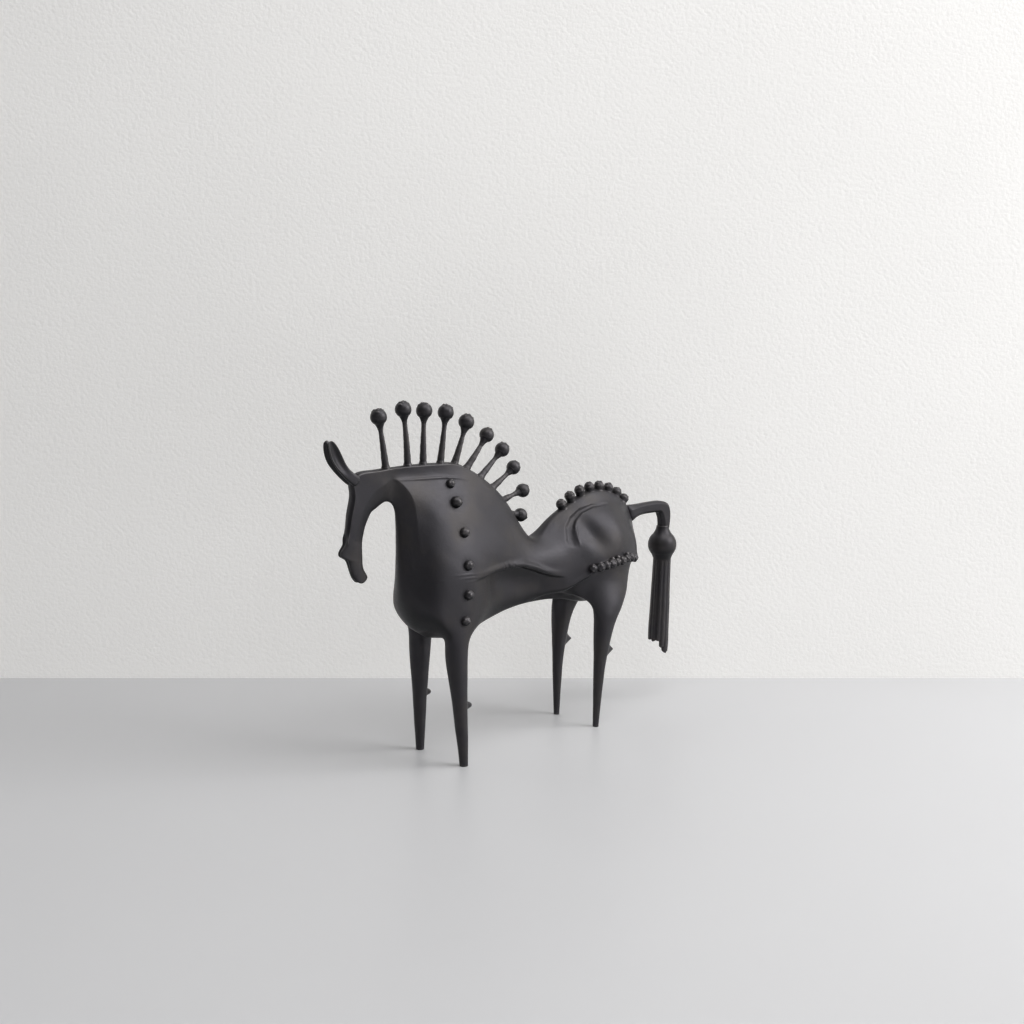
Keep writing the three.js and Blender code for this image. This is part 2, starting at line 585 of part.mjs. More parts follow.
// The smooth skin, parted at the joints
const half = GAP / 2;
const forefeet = block(-REACH, WAIST_JOINT_X, -REACH, REACH, -REACH, FRONT_LEG_JOINT_Z - half);
const hindfeet = block(WAIST_JOINT_X, REACH, -REACH, REACH, -REACH, REAR_LEG_JOINT_Z - half);
const overForefeet = block(NECK_JOINT_X + half, WAIST_JOINT_X - half, -REACH, REACH,
  FRONT_LEG_JOINT_Z + half, REACH);
const overHindfeet = block(WAIST_JOINT_X + half, REACH, -REACH, REACH,
  REAR_LEG_JOINT_Z + half, REACH);

let head = skin.intersect(block(-REACH, NECK_JOINT_X - half, -REACH, REACH, -REACH, REACH));
let foreBody = skin.intersect(overForefeet);
let hindBody = skin.intersect(overHindfeet);

// Tenon of the head into the neck
const headEnd = new THREE.Vector3(NECK_JOINT_X, 0, HEAD_TENON.z);
const headTenon = (extra) => toSolid(along(
  rod(HEAD_TENON.radius + extra, -ROOTED, HEAD_TENON.length + extra), headEnd, X_AXIS));
head = head.add(headTenon(0));
foreBody = foreBody.subtract(headTenon(GAP));

// The cores leave both body castings hollow, open to each other through the waist spigot
const waist = new THREE.Vector3(WAIST_JOINT_X, 0, WAIST_SPIGOT.z);
const SPIGOT_SIDES = 20;
const spigot = (radius, forward, back) => toSolid(
  along(rod(radius, -forward, back, SPIGOT_SIDES), waist, X_AXIS));
const bore = spigot(WAIST_SPIGOT.bore, BORE_REACH.forward, BORE_REACH.back);
hindBody = hindBody.add(spigot(WAIST_SPIGOT.radius, WAIST_SPIGOT.length, ROOTED));
foreBody = foreBody
  .subtract(spigot(WAIST_SPIGOT.radius + GAP, WAIST_SPIGOT.length + GAP, ROOTED))
  .subtract(core(FORE_CORE)).subtract(bore);
hindBody = hindBody.subtract(core(HIND_CORE)).subtract(bore);

// Legs, each with a tenon up into its casting
for (const [name, side] of Object.entries(SIDES)) {
  const ownSide = block(-REACH, REACH, Math.min(0, side * REACH), Math.max(0, side * REACH),
    -REACH, REACH);
  const legs = [
    { end: 'front', rings: FRONT_LEG, feet: forefeet, top: FRONT_LEG_JOINT_Z },
    { end: 'rear', rings: REAR_LEG, feet: hindfeet, top: REAR_LEG_JOINT_Z },
  ];
  for (const { end, rings, feet, top } of legs) {
    const seat = new THREE.Vector3(rings[0].x, rings[0].y * side, top);
    const tenon = (extra) => toSolid(along(
      rod(LEG_TENON.radius + extra, -ROOTED, LEG_TENON.length + extra), seat, Z_AXIS));
    let leg = skin.intersect(feet).intersect(ownSide).add(tenon(0));
    if (end === 'front') {
      const [x, w, z] = KNEE_BEAD.at;
      leg = leg.add(ball(new THREE.Vector3(x, w * side, z), KNEE_BEAD.radius));
      foreBody = foreBody.subtract(tenon(GAP));
    } else {
      const [x, w, z] = HOCK_SPUR.at;
      const spur = turned(HOCK_SPUR.profile).scale(1, HOCK_SPUR.flat, 1);
      leg = leg.add(toSolid(along(spur, new THREE.Vector3(x, w * side, z), X_AXIS)));
      hindBody = hindBody.subtract(tenon(GAP));
    }
    addPiece(`leg_${end}_${name}`, leg);
  }
}

const number = (i) => String(i + 1).padStart(2, '0');
MANE_PINS.forEach((pin, i) => {
  foreBody = foreBody.subtract(manePin(pin, GAP));
  addPiece(`mane_pin_${number(i)}`, manePin(pin, 0));
});
CROUP_BEADS.forEach((bead, i) => {
  hindBody = hindBody.subtract(croupBead(bead, GAP));
  addPiece(`croup_bead_${number(i)}`, croupBead(bead, 0));
});
for (const [name, side] of Object.entries(SIDES)) {
  SHOULDER_STUDS.forEach((stud, i) => {
    foreBody = foreBody.subtract(shoulderStud(stud, side, GAP));
    addPiece(`shoulder_stud_${name}_${i + 1}`, shoulderStud(stud, side, 0));
  });
  hindBody = hindBody.subtract(haunchBeads(side, GAP));
  addPiece(`haunch_beads_${name}`, haunchBeads(side, 0));
  head = head.subtract(ear(side, GAP));
  addPiece(`ear_${name}`, ear(side, 0));
}
hindBody = hindBody.subtract(tailBar(GAP));
addPiece('tail_bar', tailBar(0));
addPiece('tail_tassel', tassel().subtract(tailBar(GAP)));
addPiece('head', head);
addPiece('fore_body', foreBody);
addPiece('hind_body', hindBody);

// The origin is on the ground, under the middle of the horse's whole length
const extent = new THREE.Box3().setFromObject(horse);
horse.position.x = -(extent.min.x + extent.max.x) / 2;

export default horse;
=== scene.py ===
"""Cast and blackened bronze horse: the fine surface of every casting, built round the frame.

All shapes are drawn in millimetres in the horse's own frame: it faces -X, its left side is -Y
and it stands on z = 0 with its feet as far in front of x = 0 as behind it. in_frame() takes
them to the frame's metres.
"""
import functools
import math
import random

import bmesh
import bpy
import numpy as np
from bpy.props import FloatProperty, FloatVectorProperty, IntProperty, PointerProperty
from bpy.types import Operator, Panel, PropertyGroup
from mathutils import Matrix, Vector
from mathutils.bvhtree import BVHTree


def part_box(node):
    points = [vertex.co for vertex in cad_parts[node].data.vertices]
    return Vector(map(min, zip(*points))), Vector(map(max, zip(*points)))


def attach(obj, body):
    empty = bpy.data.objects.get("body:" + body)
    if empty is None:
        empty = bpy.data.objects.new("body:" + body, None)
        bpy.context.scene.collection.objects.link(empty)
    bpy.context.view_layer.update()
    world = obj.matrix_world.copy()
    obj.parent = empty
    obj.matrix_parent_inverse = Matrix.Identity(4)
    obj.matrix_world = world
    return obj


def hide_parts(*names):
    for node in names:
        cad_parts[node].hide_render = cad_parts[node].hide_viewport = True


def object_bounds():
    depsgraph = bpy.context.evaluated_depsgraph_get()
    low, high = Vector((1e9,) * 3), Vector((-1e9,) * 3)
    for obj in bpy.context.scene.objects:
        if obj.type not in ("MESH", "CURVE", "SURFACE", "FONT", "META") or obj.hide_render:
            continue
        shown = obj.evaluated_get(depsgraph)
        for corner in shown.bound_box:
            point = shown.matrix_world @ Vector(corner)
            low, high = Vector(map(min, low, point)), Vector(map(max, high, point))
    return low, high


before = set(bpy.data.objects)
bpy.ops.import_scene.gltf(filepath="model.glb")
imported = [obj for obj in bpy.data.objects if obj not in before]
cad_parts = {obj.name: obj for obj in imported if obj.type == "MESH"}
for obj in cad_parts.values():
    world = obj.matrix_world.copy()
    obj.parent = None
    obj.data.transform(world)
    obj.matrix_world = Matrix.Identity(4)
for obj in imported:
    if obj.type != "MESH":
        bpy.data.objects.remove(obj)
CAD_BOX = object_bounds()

bl_info = {
    "name": "Cast Bronze Horse",
    "version": (1, 0, 0),
    "blender": (4, 5, 0),
    "location": "3D View > Sidebar > Horse",
    "description": "Builds a cast and blackened bronze horse piece by piece round its frame",
    "category": "Object",
}

MM = 0.001
BODY = "root"
SIDES = {"left": -1, "right": 1}
HIGH_SPOTS = "high_spots"    # attribute of a mesh's corners that handling rubs
# Where rubbing starts and is full, on the large castings and on the small pieces, as the bend
# of the skin: one over a radius in millimetres
SKIN_BENDS = (0.12, 0.6)
SMALL_BENDS = (0.05, 0.5)

# ---- Driving shapes ----------------------------------------------

# The cage of the left half: each row runs from the front of the horse to its rump, and the
# rows go from the top line down to the belly. A point is (x, distance from the middle, z).
NECK_TOP_ROWS = [
    # top line of neck, saddle and croup
    [(-111, 0, 221.2), (-92, 0, 221.6), (-70, 0, 221.2), (-52, 0, 218.6), (-28, 0, 205.4),
     (-6, 0, 184.5), (16, 0, 157.6), (36, 0, 166.5), (57, 0, 178.2), (82, 0, 187.4),
     (104, 0, 185.2), (121, 0, 176), (129, 0, 168.5)],
    # edge of the crest
    [(-111, 3.8, 220.3), (-92, 4.1, 220.6), (-70, 4.3, 220.1), (-52, 4.4, 217.2),
     (-28, 4.6, 203.6), (-6, 4.8, 183), (15, 5.5, 157), (36, 4.6, 164.6), (57, 4.6, 176.2),
     (82, 4.8, 185.4), (104, 4.6, 183.2), (120, 4, 174), (131, 0, 163.5)],
]
FLANK_ROWS = [
    # crease under the crest, from the arch of the throat
    [(-113, 0, 194.5), (-111.2, 3.9, 212), (-91, 5, 211.3), (-69, 5.8, 210.8),
     (-50, 6.6, 208.6), (-29, 7.2, 198), (-9, 8.2, 178), (13, 10, 154.6), (38, 8.4, 159.6),
     (58, 8.4, 170.8), (82, 8.8, 178.6), (105, 8.4, 176.6), (120, 7, 168), (132, 0, 158)],
    # upper flank
    [(-109.6, 0, 186), (-101.5, 9.5, 198), (-88, 10.6, 199), (-68, 11.2, 198),
     (-48, 11.2, 195), (-29, 11.2, 184), (-9, 12, 166), (12, 13.6, 149.6), (39, 13.4, 153),
     (59, 14, 163.4), (82, 15.4, 171), (106, 14.4, 168.4), (120.5, 10, 161), (132.8, 0, 152)],
    [(-108.4, 0, 172), (-99.4, 12, 177), (-86, 16, 179), (-67, 17.4, 179), (-46, 17, 177),
     (-26, 15.8, 168), (-7, 15.2, 154), (11, 16.4, 143.6), (40, 17.6, 144.6), (60, 20, 152.6),
     (83, 22.4, 160), (106, 20.2, 158), (121.5, 13, 152.6), (133, 0, 145)],
    # ridge of the waist, widest line of the shoulder and haunch
    [(-108, 0, 154), (-98.8, 13.8, 155), (-86.6, 21.2, 157), (-66, 24.2, 157), (-44, 23, 154),
     (-23, 20, 147), (-5, 18.4, 138.6), (13, 18.4, 132.6), (40, 20, 132.6), (61, 24.2, 139.6),
     (84, 27.6, 146.6), (107, 24, 145.6), (122.4, 15.4, 143), (132.6, 0, 137)],
    [(-106.8, 0, 134), (-99.3, 16.8, 133), (-87, 25.8, 136), (-66, 28, 136), (-43, 24.6, 135),
     (-24, 17, 131), (-5, 14, 127), (14, 16, 122), (40, 20.4, 120), (60, 25.4, 128),
     (84, 29.4, 133.6), (107, 26, 133.4), (121, 17, 132), (130.5, 0, 128)],
    [(-103, 0, 117), (-96, 22, 116), (-85.6, 27.4, 115), (-68, 28.8, 114), (-47, 23.6, 115),
     (-27, 14, 117), (-6, 11, 117), (14, 12.4, 113.6), (40, 15.6, 111), (60, 23.4, 114),
     (83, 29.4, 118), (105, 26.4, 118), (116, 16, 118), (122, 0, 117)],
    # outer root of the legs
    [(-96.6, 0, 104), (-89.4, 20, 103.6), (-81, 26, 98), (-71.6, 28.6, 97), (-60, 25, 98),
     (-33, 11, 103), (-8, 7.4, 107.6), (15, 8, 108.4), (42, 9.6, 107), (63, 23, 101),
     (80, 31, 99), (98, 27.4, 101), (108, 15, 106), (112, 0, 108)],
    # inner root of the legs
    [(-90, 0, 98), (-86, 12, 98.4), (-80, 15.4, 95), (-71.6, 13.6, 93.6), (-61, 14.6, 95.6),
     (-38, 6.6, 98.6), (-11, 4, 103.6), (15, 4.2, 106.6), (44, 5.4, 105.2), (66.8, 15.2, 100.6),
     (79, 13.4, 98), (94, 14.4, 99), (100, 7.6, 102.6), (102, 0, 103)],
    # middle of the belly
    [(-84, 0, 94), (-82, 0, 93.4), (-77, 0, 92.6), (-71.6, 0, 92), (-63, 0, 93.4),
     (-40, 0, 97.4), (-13, 0, 102.8), (15, 0, 106.2), (45, 0, 104.6), (66, 0, 99.8),
     (78, 0, 98.6), (88, 0, 99.6), (92, 0, 100.4), (95, 0, 101.4)],
]
# The head is a tube on the front of the neck. Each ring is the middle of the top or brow, its
# edge, the ridge of the side face and the keel behind the jaw.
HEAD_RINGS = [
    [(-120, 0, 221), (-120, 3.8, 219.9), (-119.4, 3.9, 211), (-119.4, 0, 197)],
    [(-131, 0, 220.4), (-131, 3.8, 219.4), (-127.6, 3.9, 207), (-126.4, 0, 193.4)],
    [(-142, 0, 219.6), (-142, 3.8, 218.6), (-134, 3.9, 202), (-131, 0, 190.6)],
    [(-148.4, 0, 213.4), (-147.6, 3.8, 212.6), (-139, 3.8, 195), (-134, 0, 186)],
    [(-147.4, 0, 204), (-146.8, 4, 203.6), (-143, 3.8, 187.4), (-136.2, 0, 181.4)],
    [(-150.2, 0, 191), (-149.6, 3.9, 190.6), (-145.6, 3.6, 179.6), (-137.8, 0, 176.4)],
    [(-152.4, 0, 179), (-151.8, 3.4, 178.8), (-146, 3.2, 172.4), (-139, 0, 171.4)],
    [(-153.8, 0, 170.4), (-153.2, 3, 170), (-144, 2.9, 165.6), (-139.6, 0, 165.6)],
    [(-157.6, 0, 165.4), (-156.6, 2.5, 164.6), (-144, 2.8, 160.4), (-139.6, 0, 160.8)],
    [(-156.4, 0, 161.6), (-155.4, 2.5, 161.2), (-143.6, 2.8, 158.2), (-139.6, 0, 158.4)],
    [(-152.4, 0, 159.8), (-151.6, 2.4, 158.4), (-143, 2.7, 155.2), (-139.4, 0, 155.2)],
    [(-149.8, 0, 152.4), (-149, 2.4, 151.6), (-141.8, 2.7, 149.4), (-137.6, 0, 149.6)],
    [(-146, 0, 144.6), (-145, 2.3, 143.4), (-140, 2.7, 142.6), (-135.8, 0, 144.6)],
]
# Rings round the legs: centre x, centre distance from the middle, half length along x, half
# width across, height
FRONT_LEG = [(-72.6, 21.6, 8.4, 7.8, 82), (-72, 22.8, 6.7, 6.4, 60), (-71.2, 24.2, 5.1, 5, 36),
             (-70.4, 25.4, 3.8, 3.8, 14), (-70, 26, 3.1, 3.1, 0)]
REAR_LEG = [(77.4, 24.4, 9.6, 7.4, 84), (74, 24.2, 6.4, 5.6, 64), (71.8, 23.7, 4.2, 4, 40),
            (70.6, 23.1, 3, 2.9, 16), (70, 22.7, 2.3, 2.3, 0)]
RING_ANGLES = (35, 90, 145, 215, 270, 325)
# The points of a row of the cage between which each leg stands
LEGS = [(2, 4, FRONT_LEG), (9, 11, REAR_LEG)]

# Where the castings meet, and the directions that their cuts face
NECK_JOINT = (-126, 0, 0)
WAIST_JOINT = (16, 0, 0)
FRONT_LEG_JOINT = (0, 0, 88)
REAR_LEG_JOINT = (0, 0, 94)
FORWARD, BACKWARD = (-1, 0, 0), (1, 0, 0)
UPWARD, DOWNWARD = (0, 0, 1), (0, 0, -1)

# Lines worked into the flank as (x, z, reach, height): the channel under the croup band, the
# raised lip inside it, the lower edge of the crest band, and the tool marks on the waist, the
# shoulder and the chest
CHANNEL = [(47.5, 147, 5.2, 0), (47.8, 153, 5, 1.3), (50.4, 161, 4.2, 1.7),
           (56.4, 168, 3.2, 1.6), (65, 173.6, 2.4, 1.3), (77, 176.6, 1.8, 0.9),
           (93, 176.6, 1.4, 0.2)]
CHANNEL_LIP = [(54.4, 147, 1.1, 0), (54, 154, 1.1, 0.6), (55.6, 163, 1.1, 0.6),
               (61.2, 169.6, 1.1, 0.3), (70, 173, 1.1, 0)]
CREST_LIP = [(-113, 212, 1, 0.2), (-91, 211.3, 1, 0.55), (-69, 210.8, 1, 0.55),
             (-57, 209.4, 1, 0.3), (-46, 206.6, 1, 0)]
TOOL_MARKS = [[(-27, 145.4, 0.8, 0), (-25.4, 142.6, 0.9, -0.5), (-24.6, 139.6, 0.8, 0)],
              [(-22.6, 144, 1, 0), (-21.2, 142, 1.3, -0.8), (-21.4, 139.8, 1, 0)],
              [(-15.6, 145.6, 0.8, 0), (-15, 142, 0.9, -0.4), (-13, 139.6, 0.8, 0)],
              [(-79, 142.4, 0.6, 0), (-66, 142, 0.6, 0.22), (-52, 141.2, 0.6, 0)],
              [(-75, 139.4, 0.6, 0), (-64, 139.4, 0.6, 0.26), (-50, 138.6, 0.6, 0)],
              [(-70, 136.6, 0.6, 0), (-60, 136.8, 0.6, 0.2), (-52, 136.2, 0.6, 0)],
              [(-96, 140, 0.6, 0), (-90, 140, 0.6, 0.16), (-84, 139.8, 0.6, 0)]]
# Low rounds of the flank as (x, z), reach along and across, height and lean: the hollow facet
# on the haunch, the swelling behind it, and the hollow between the shoulder and the neck's edge
ROUNDS = [((67, 157), (13, 8), -2.6, (0.5, -0.85)), ((92, 155), (10, 15), 1.8, (1, 0)),
          ((-93, 186), (9, 15), -0.5, (1, 0))]
# Edges with the skin set in below them, as (x, z, share of the depth), and how far below the
# set-in ends: the rolled haunch above the rear leg, and the shelf of the waist
HAUNCH_EDGE = [(16, 108.6, 0), (24, 111.4, 0.4), (40, 114.6, 0.85), (57, 122, 1),
               (66, 127.6, 1), (78, 129.6, 1), (92, 131, 1), (106, 131.8, 0.9),
               (118, 130.6, 0.6), (128, 129, 0)]
HAUNCH_FADE = 40
WAIST_EDGE = [(-60, 137, 0), (-48, 138, 0.3), (-36, 139, 0.8), (-20, 139.4, 1),
              (-4, 138.2, 1), (8, 134.4, 1), (17, 130.6, 0.9), (27, 127.6, 0.45), (38, 126, 0)]
WAIST_FADE = 30
EDGE_ROLL = 0.32      # how far such an edge stands out, as a share of the depth
# Swellings on the back of the legs: the point reached as (x, distance from the middle, z),
# half width and half height, how far the skin is pulled at most, and from how far
KNEE_BEAD = {"tip": (-61, 24, 44.6), "half": (2.5, 2.7), "pull": 9, "reach": 14}
HOCK_SPUR = {"tip": (88.2, 24, 62), "half": (3.8, 7.2), "pull": 12, "reach": 16}
FINE_REACH = 11       # how far round them the skin is divided once more
# Depth and reach of the dents that the studs press in: the second stud's is deeper
STUD_DENT = (0.5, 5.4)
SECOND_STUD_DENT = (1.2, 7)

# Pins, beads and studs are turned from profiles of (radius, height). Nubs stand on their balls
# in rings, each a count and an angle from the top; spread is the angle that one nub covers.
PIN_FOOT = [(3.5, -2.5), (3.4, -0.8), (2.9, 0.6), (2.6, 2.4)]
PIN_NECK = 1.7
PIN_NUBS = {"rings": [(1, 0.1), (4, 0.42), (3, 0.8)], "share": 1, "spread": 0.16}
CROUP_SWELL = 1.06    # a croup bead's size against its eight-sided solid
CROUP_SINK = 0.7      # how much lower it sits
CROUP_NUBS = {"rings": [(2, 0.3), (5, 0.85), (5, 1.45)], "share": 0.7, "spread": 0.2}
# The dome of a stud, in shares of its radius and of its rise
STUD_DOME = [(1.1, -0.7), (1.08, -0.3), (1.02, 0), (0.98, 0.22), (0.91, 0.45), (0.77, 0.68),
             (0.55, 0.86), (0.28, 0.97), (0.01, 1.0)]
STUD_NUBS = {"rings": [(1, 0.2), (4, 0.75)], "share": 0.5, "spread": 0.26}
# The row round the haunch: the heights of its beads, and how far each stands out of the skin.
# A drop of metal sits above some of them.
HAUNCH_ROW = {"heights": (129.8, 130.8, 131.6, 132.4, 133.2, 133.8, 134.4, 134.6, 134),
              "radius": 3.8, "stand": 0.8}
HAUNCH_NUBS = {"rings": [(2, 0.4), (4, 0.95)], "share": 0.8, "spread": 0.26}
DROPS = {"beads": (3, 4, 6), "place": (1.6, 0, 3.6), "radius": 1.7, "stand": 0.2}

# Ears: centre line from the poll to the tip with half depth seen from the side, half width
# seen from the front, and how far the cup is hollowed. The section goes round the back of the
# ear and then through the cup, whose corners are keys of EAR_FLAT: where each one lies on an
# ear that isn't hollowed.
EAR = [((-143.4, 2.2, 212.6), 4.6, 2.6, 0), ((-148.2, 2.3, 215.8), 4.2, 2.6, 0),
       ((-152.8, 2.4, 219.4), 3.9, 2.5, 0.1), ((-156.8, 2.6, 223.8), 4, 2.7, 0.5),
       ((-160.2, 2.8, 228.8), 4.8, 2.9, 0.9), ((-162.6, 2.8, 234), 4.6, 2.8, 1),
       ((-164.4, 2.6, 239), 3.7, 2.4, 0.9), ((-166, 2.4, 243), 1.8, 1.4, 0.4)]
EAR_SECTION = [(1, 0.6), (0.74, -0.5), (0.3, -1), (-0.3, -1), (-0.74, -0.5), (-1, 0.6),
               (-0.66, 0.5), (-0.26, -0.2), (0.26, -0.2), (0.66, 0.5)]
EAR_FLAT = {6: 1, 7: 1.05, 8: 1.05, 9: 1}
# Tail bar: centre line from the rump to the tassel with half depth, half width and roundness
TAIL_BAR = [((126, 0, 163), 8.4, 5.4, 1), ((132.6, 0, 165), 6.4, 4.9, 0.6),
            ((139, 0, 166.2), 4.9, 4.2, 0.2), ((148, 0, 166.7), 4.7, 4, 0),
            ((158, 0, 166.9), 4.7, 4.2, 0), ((166, 0, 166.7), 4.9, 4.4, 0),
            ((171.2, 0, 163.8), 7.6, 4.6, 0), ((172.6, 0, 158), 5.9, 4.7, 0),
            ((172.6, 0, 152.8), 5.3, 4.8, 0.4), ((172.4, 0, 149.4), 5.1, 4.9, 1),
            ((172.2, 0, 146), 5, 4.9, 1)]
BAR_CHAMFER = 0.62
BAR_CREASE = 0.45
TAIL_BALL = {"centre": (171.2, 0, 133.4), "radius": 12.1}
# Profiles from the middle of the ball: the neck above it and the collar below
TAIL_NECK = [(9.4, 6.6), (8.3, 8.6), (6.9, 10.8), (5.8, 13), (5.3, 15), (5.1, 16.4)]
TAIL_COLLAR = [(7.2, -15.4), (7.3, -13.4), (7.7, -11.4), (8.6, -9.2), (9.7, -6.8)]
# The axis of the tassel as (x, z), its strands' distance from the axis and thickness at the top
# and the foot, and how low the short and the long ones end. The long ones are on one side, and
# each is cut on a slant.
TASSEL = {"top": (171.4, 124), "foot": (167.4, 46.6), "strands": 12, "spread": (5, 6.4),
          "strand": (2.5, 2.7), "short": 52.8, "long": 42.2, "long_way": (0.746, -0.666),
          "cut_slant": 1.5, "cut_size": 0.8}
TASSEL_CORE = [(0.02, 56), (4.8, 56.2), (4.4, 90), (3.8, 123), (0.02, 124)]

# The stage, in metres: half width and half length of the floor and the wall, and the soft
# lights' places from the middle of the horse with their sizes. A place is how far to the
# right, away from the camera and up.
FLOOR_REACH = (6, 6)
WALL_REACH = (6, 2.5)
LIGHTS = {"window_light": ((1.6, -0.25, 0.9), (1.2, 1.2)),
          "ceiling_light": ((0.5, -0.35, 1.6), (1.8, 1.0))}
AIR_COLOUR = (0.93, 0.95, 1, 1)

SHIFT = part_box("tail_tassel")[1].x / MM - TAIL_BALL["centre"][0] - TAIL_BALL["radius"]


def in_frame(points):
    """Points of the horse's own millimetres, in the frame's metres."""
    return (np.asarray(points, dtype=float) + (SHIFT, 0, 0)) * MM


def from_frame(points):
    """Points of the frame's metres, in the horse's own millimetres."""
    return np.asarray(points, dtype=float) / MM - (SHIFT, 0, 0)


# ---- Settings a user may change ----------------------------------

class CastingSizes(PropertyGroup):
    skin_levels: IntProperty(name="Skin levels", description="How often the cage is divided",
                             default=4, min=2, max=6)
    haunch_inset: FloatProperty(name="Haunch inset",
                                description="How far the rear leg is set in under the haunch",
                                default=5 * MM, min=0, unit="LENGTH")
    waist_inset: FloatProperty(name="Waist inset",
                               description="How far the belly is set in under the waist",
                               default=4.6 * MM, min=0, unit="LENGTH")
    waviness: FloatProperty(name="Waviness", description="Height of the hand-worked waves",
                            default=0.16 * MM, min=0, unit="LENGTH")
    nub_height: FloatProperty(name="Nub height",
                              description="Height of the cast nubs on the balls and beads",
                              default=0.75 * MM, min=0, unit="LENGTH")
    voxel: FloatProperty(name="Fusing size",
                         description="Cell size where balls or strands are fused to one skin",
                         default=0.36 * MM, min=0.2 * MM, unit="LENGTH")


class PatinaLook(PropertyGroup):
    black: FloatVectorProperty(name="Black", description="Colour of the patina",
                               subtype="COLOR", size=3, default=(0.042, 0.04, 0.045))
    brown: FloatVectorProperty(name="Brown", description="Warmer clouds in the patina",
                               subtype="COLOR", size=3, default=(0.055, 0.05, 0.049))
    # Painted shade: this near-black is laid on every surface that faces down, as if shade fell
    # under the belly, chest and legs
    painted_under_shade: FloatVectorProperty(name="Sheltered", description="Patina that no hand reaches",
                                   subtype="COLOR", size=3, default=(0.016, 0.016, 0.018))
    rubbed: FloatVectorProperty(name="Rubbed", description="Colour of handled edges",
                                subtype="COLOR", size=3, default=(0.16, 0.15, 0.15))
    roughness: FloatProperty(name="Roughness", description="Middle roughness of the wax finish",
                             default=0.46, min=0, max=1)
    grain: FloatProperty(name="Grain depth", description="Depth of the cast grain",
                         default=0.12 * MM, min=0, unit="LENGTH")


class StageLook(PropertyGroup):
    camera_place: FloatVectorProperty(name="Camera place", subtype="TRANSLATION", size=3,
                                      description="Where the camera stands",
                                      default=(-0.69505, -0.77053, 0.33154))
    camera_pan: FloatProperty(name="Camera pan", description="Turn of the camera from +Y",
                              default=math.radians(41.75), unit="ROTATION")
    camera_tilt: FloatProperty(name="Camera tilt", description="How far the camera looks down",
                               default=math.radians(8.46), unit="ROTATION")
    lens: FloatProperty(name="Lens", description="Focal length in millimetres", default=48.23,
                        unit="CAMERA")
    wall_distance: FloatProperty(name="Wall distance", description="From camera to wall",
                                 default=1.207, unit="LENGTH")
    floor_colour: FloatVectorProperty(name="Floor colour", description="Pale grey floor",
                                      subtype="COLOR", size=3, default=(0.6, 0.6, 0.61))
    wall_colour: FloatVectorProperty(name="Wall colour", description="Off-white wall",
                                     subtype="COLOR", size=3, default=(0.86, 0.85, 0.83))
    window_power: FloatProperty(name="Window light", description="Soft light from the right",
                                default=25, min=0, unit="POWER")
    ceiling_power: FloatProperty(name="Ceiling light", description="Soft light from above",
                                 default=17.5, min=0, unit="POWER")
    room_light: FloatProperty(name="Room light", description="Strength of the even light",
                              default=0.11, min=0)
    wall_glow: FloatProperty(name="Wall glow", description="Light that the wall gives off",
                             default=0.3, min=0)


# ---- Nodes of the materials --------------------------------------

class Amount:
    """A number carried by a shader socket. Sums in Python add its Math nodes."""

    def __init__(self, bench, socket):
        self.bench = bench
        self.socket = socket

    def _join(self, operation, first, second):
        node = self.bench.node("ShaderNodeMath", {"operation": operation},
                               {0: first, 1: second})
        return Amount(self.bench, node.outputs[0])

    def __add__(self, other):
        return self._join("ADD", self, other)

    def __radd__(self, other):
        return self._join("ADD", other, self)

    def __sub__(self, other):
        return self._join("SUBTRACT", self, other)

    def __rsub__(self, other):
        return self._join("SUBTRACT", other, self)

    def __mul__(self, other):
        return self._join("MULTIPLY", self, other)

    def __rmul__(self, other):
        return self._join("MULTIPLY", other, self)

    def between(self, low, high):
        """0 below low, 1 above high and a smooth rise between them."""
        node = self.bench.node("ShaderNodeMapRange", {"interpolation_type": "SMOOTHSTEP"},
                               {"Value": self, "From Min": low, "From Max": high})
        return Amount(self.bench, node.outputs["Result"])


class Bench:
    """Adds the nodes of one material."""

    def __init__(self, name):
        self.material = bpy.data.materials.new(name)
        self.material.use_nodes = True
        self.tree = self.material.node_tree
        self.tree.nodes.clear()

    def node(self, kind, settings, inputs):
        """A node of a kind, with its settings made first and its sockets filled or linked."""
        made = self.tree.nodes.new(kind)
        for key, value in settings.items():
            setattr(made, key, value)
        for key, value in inputs.items():
            value = value.socket if isinstance(value, Amount) else value
            if isinstance(value, bpy.types.NodeSocket):
                self.tree.links.new(value, made.inputs[key])
            else:
                made.inputs[key].default_value = value
        return made

    def places(self, stretch=(1, 1, 1)):
        """The object's own coordinates, stretched."""
        where = self.node("ShaderNodeTexCoord", {}, {}).outputs["Object"]
        return self.node("ShaderNodeVectorMath", {"operation": "MULTIPLY"},
                         {0: where, 1: stretch}).outputs["Vector"]

    def noise(self, size, detail=3, rough=0.5, stretch=(1, 1, 1)):
        """Clouds about as large as size, in metres, from 0 to 1."""
        made = self.node("ShaderNodeTexNoise", {}, {
            "Vector": self.places(stretch), "Scale": 1 / size, "Detail": detail,
            "Roughness": rough})
        return Amount(self, made.outputs["Fac"])

    def blend(self, share, first, second):
        """A colour between two, by a share from 0 to 1."""
        return self.node("ShaderNodeMix", {"data_type": "RGBA"},
                         {0: share, 6: first, 7: second}).outputs[2]

    def finish(self, shader):
        self.node("ShaderNodeOutputMaterial", {}, {"Surface": shader.outputs[0]})
        return self.material


def opaque(colour):
    return (*colour, 1)


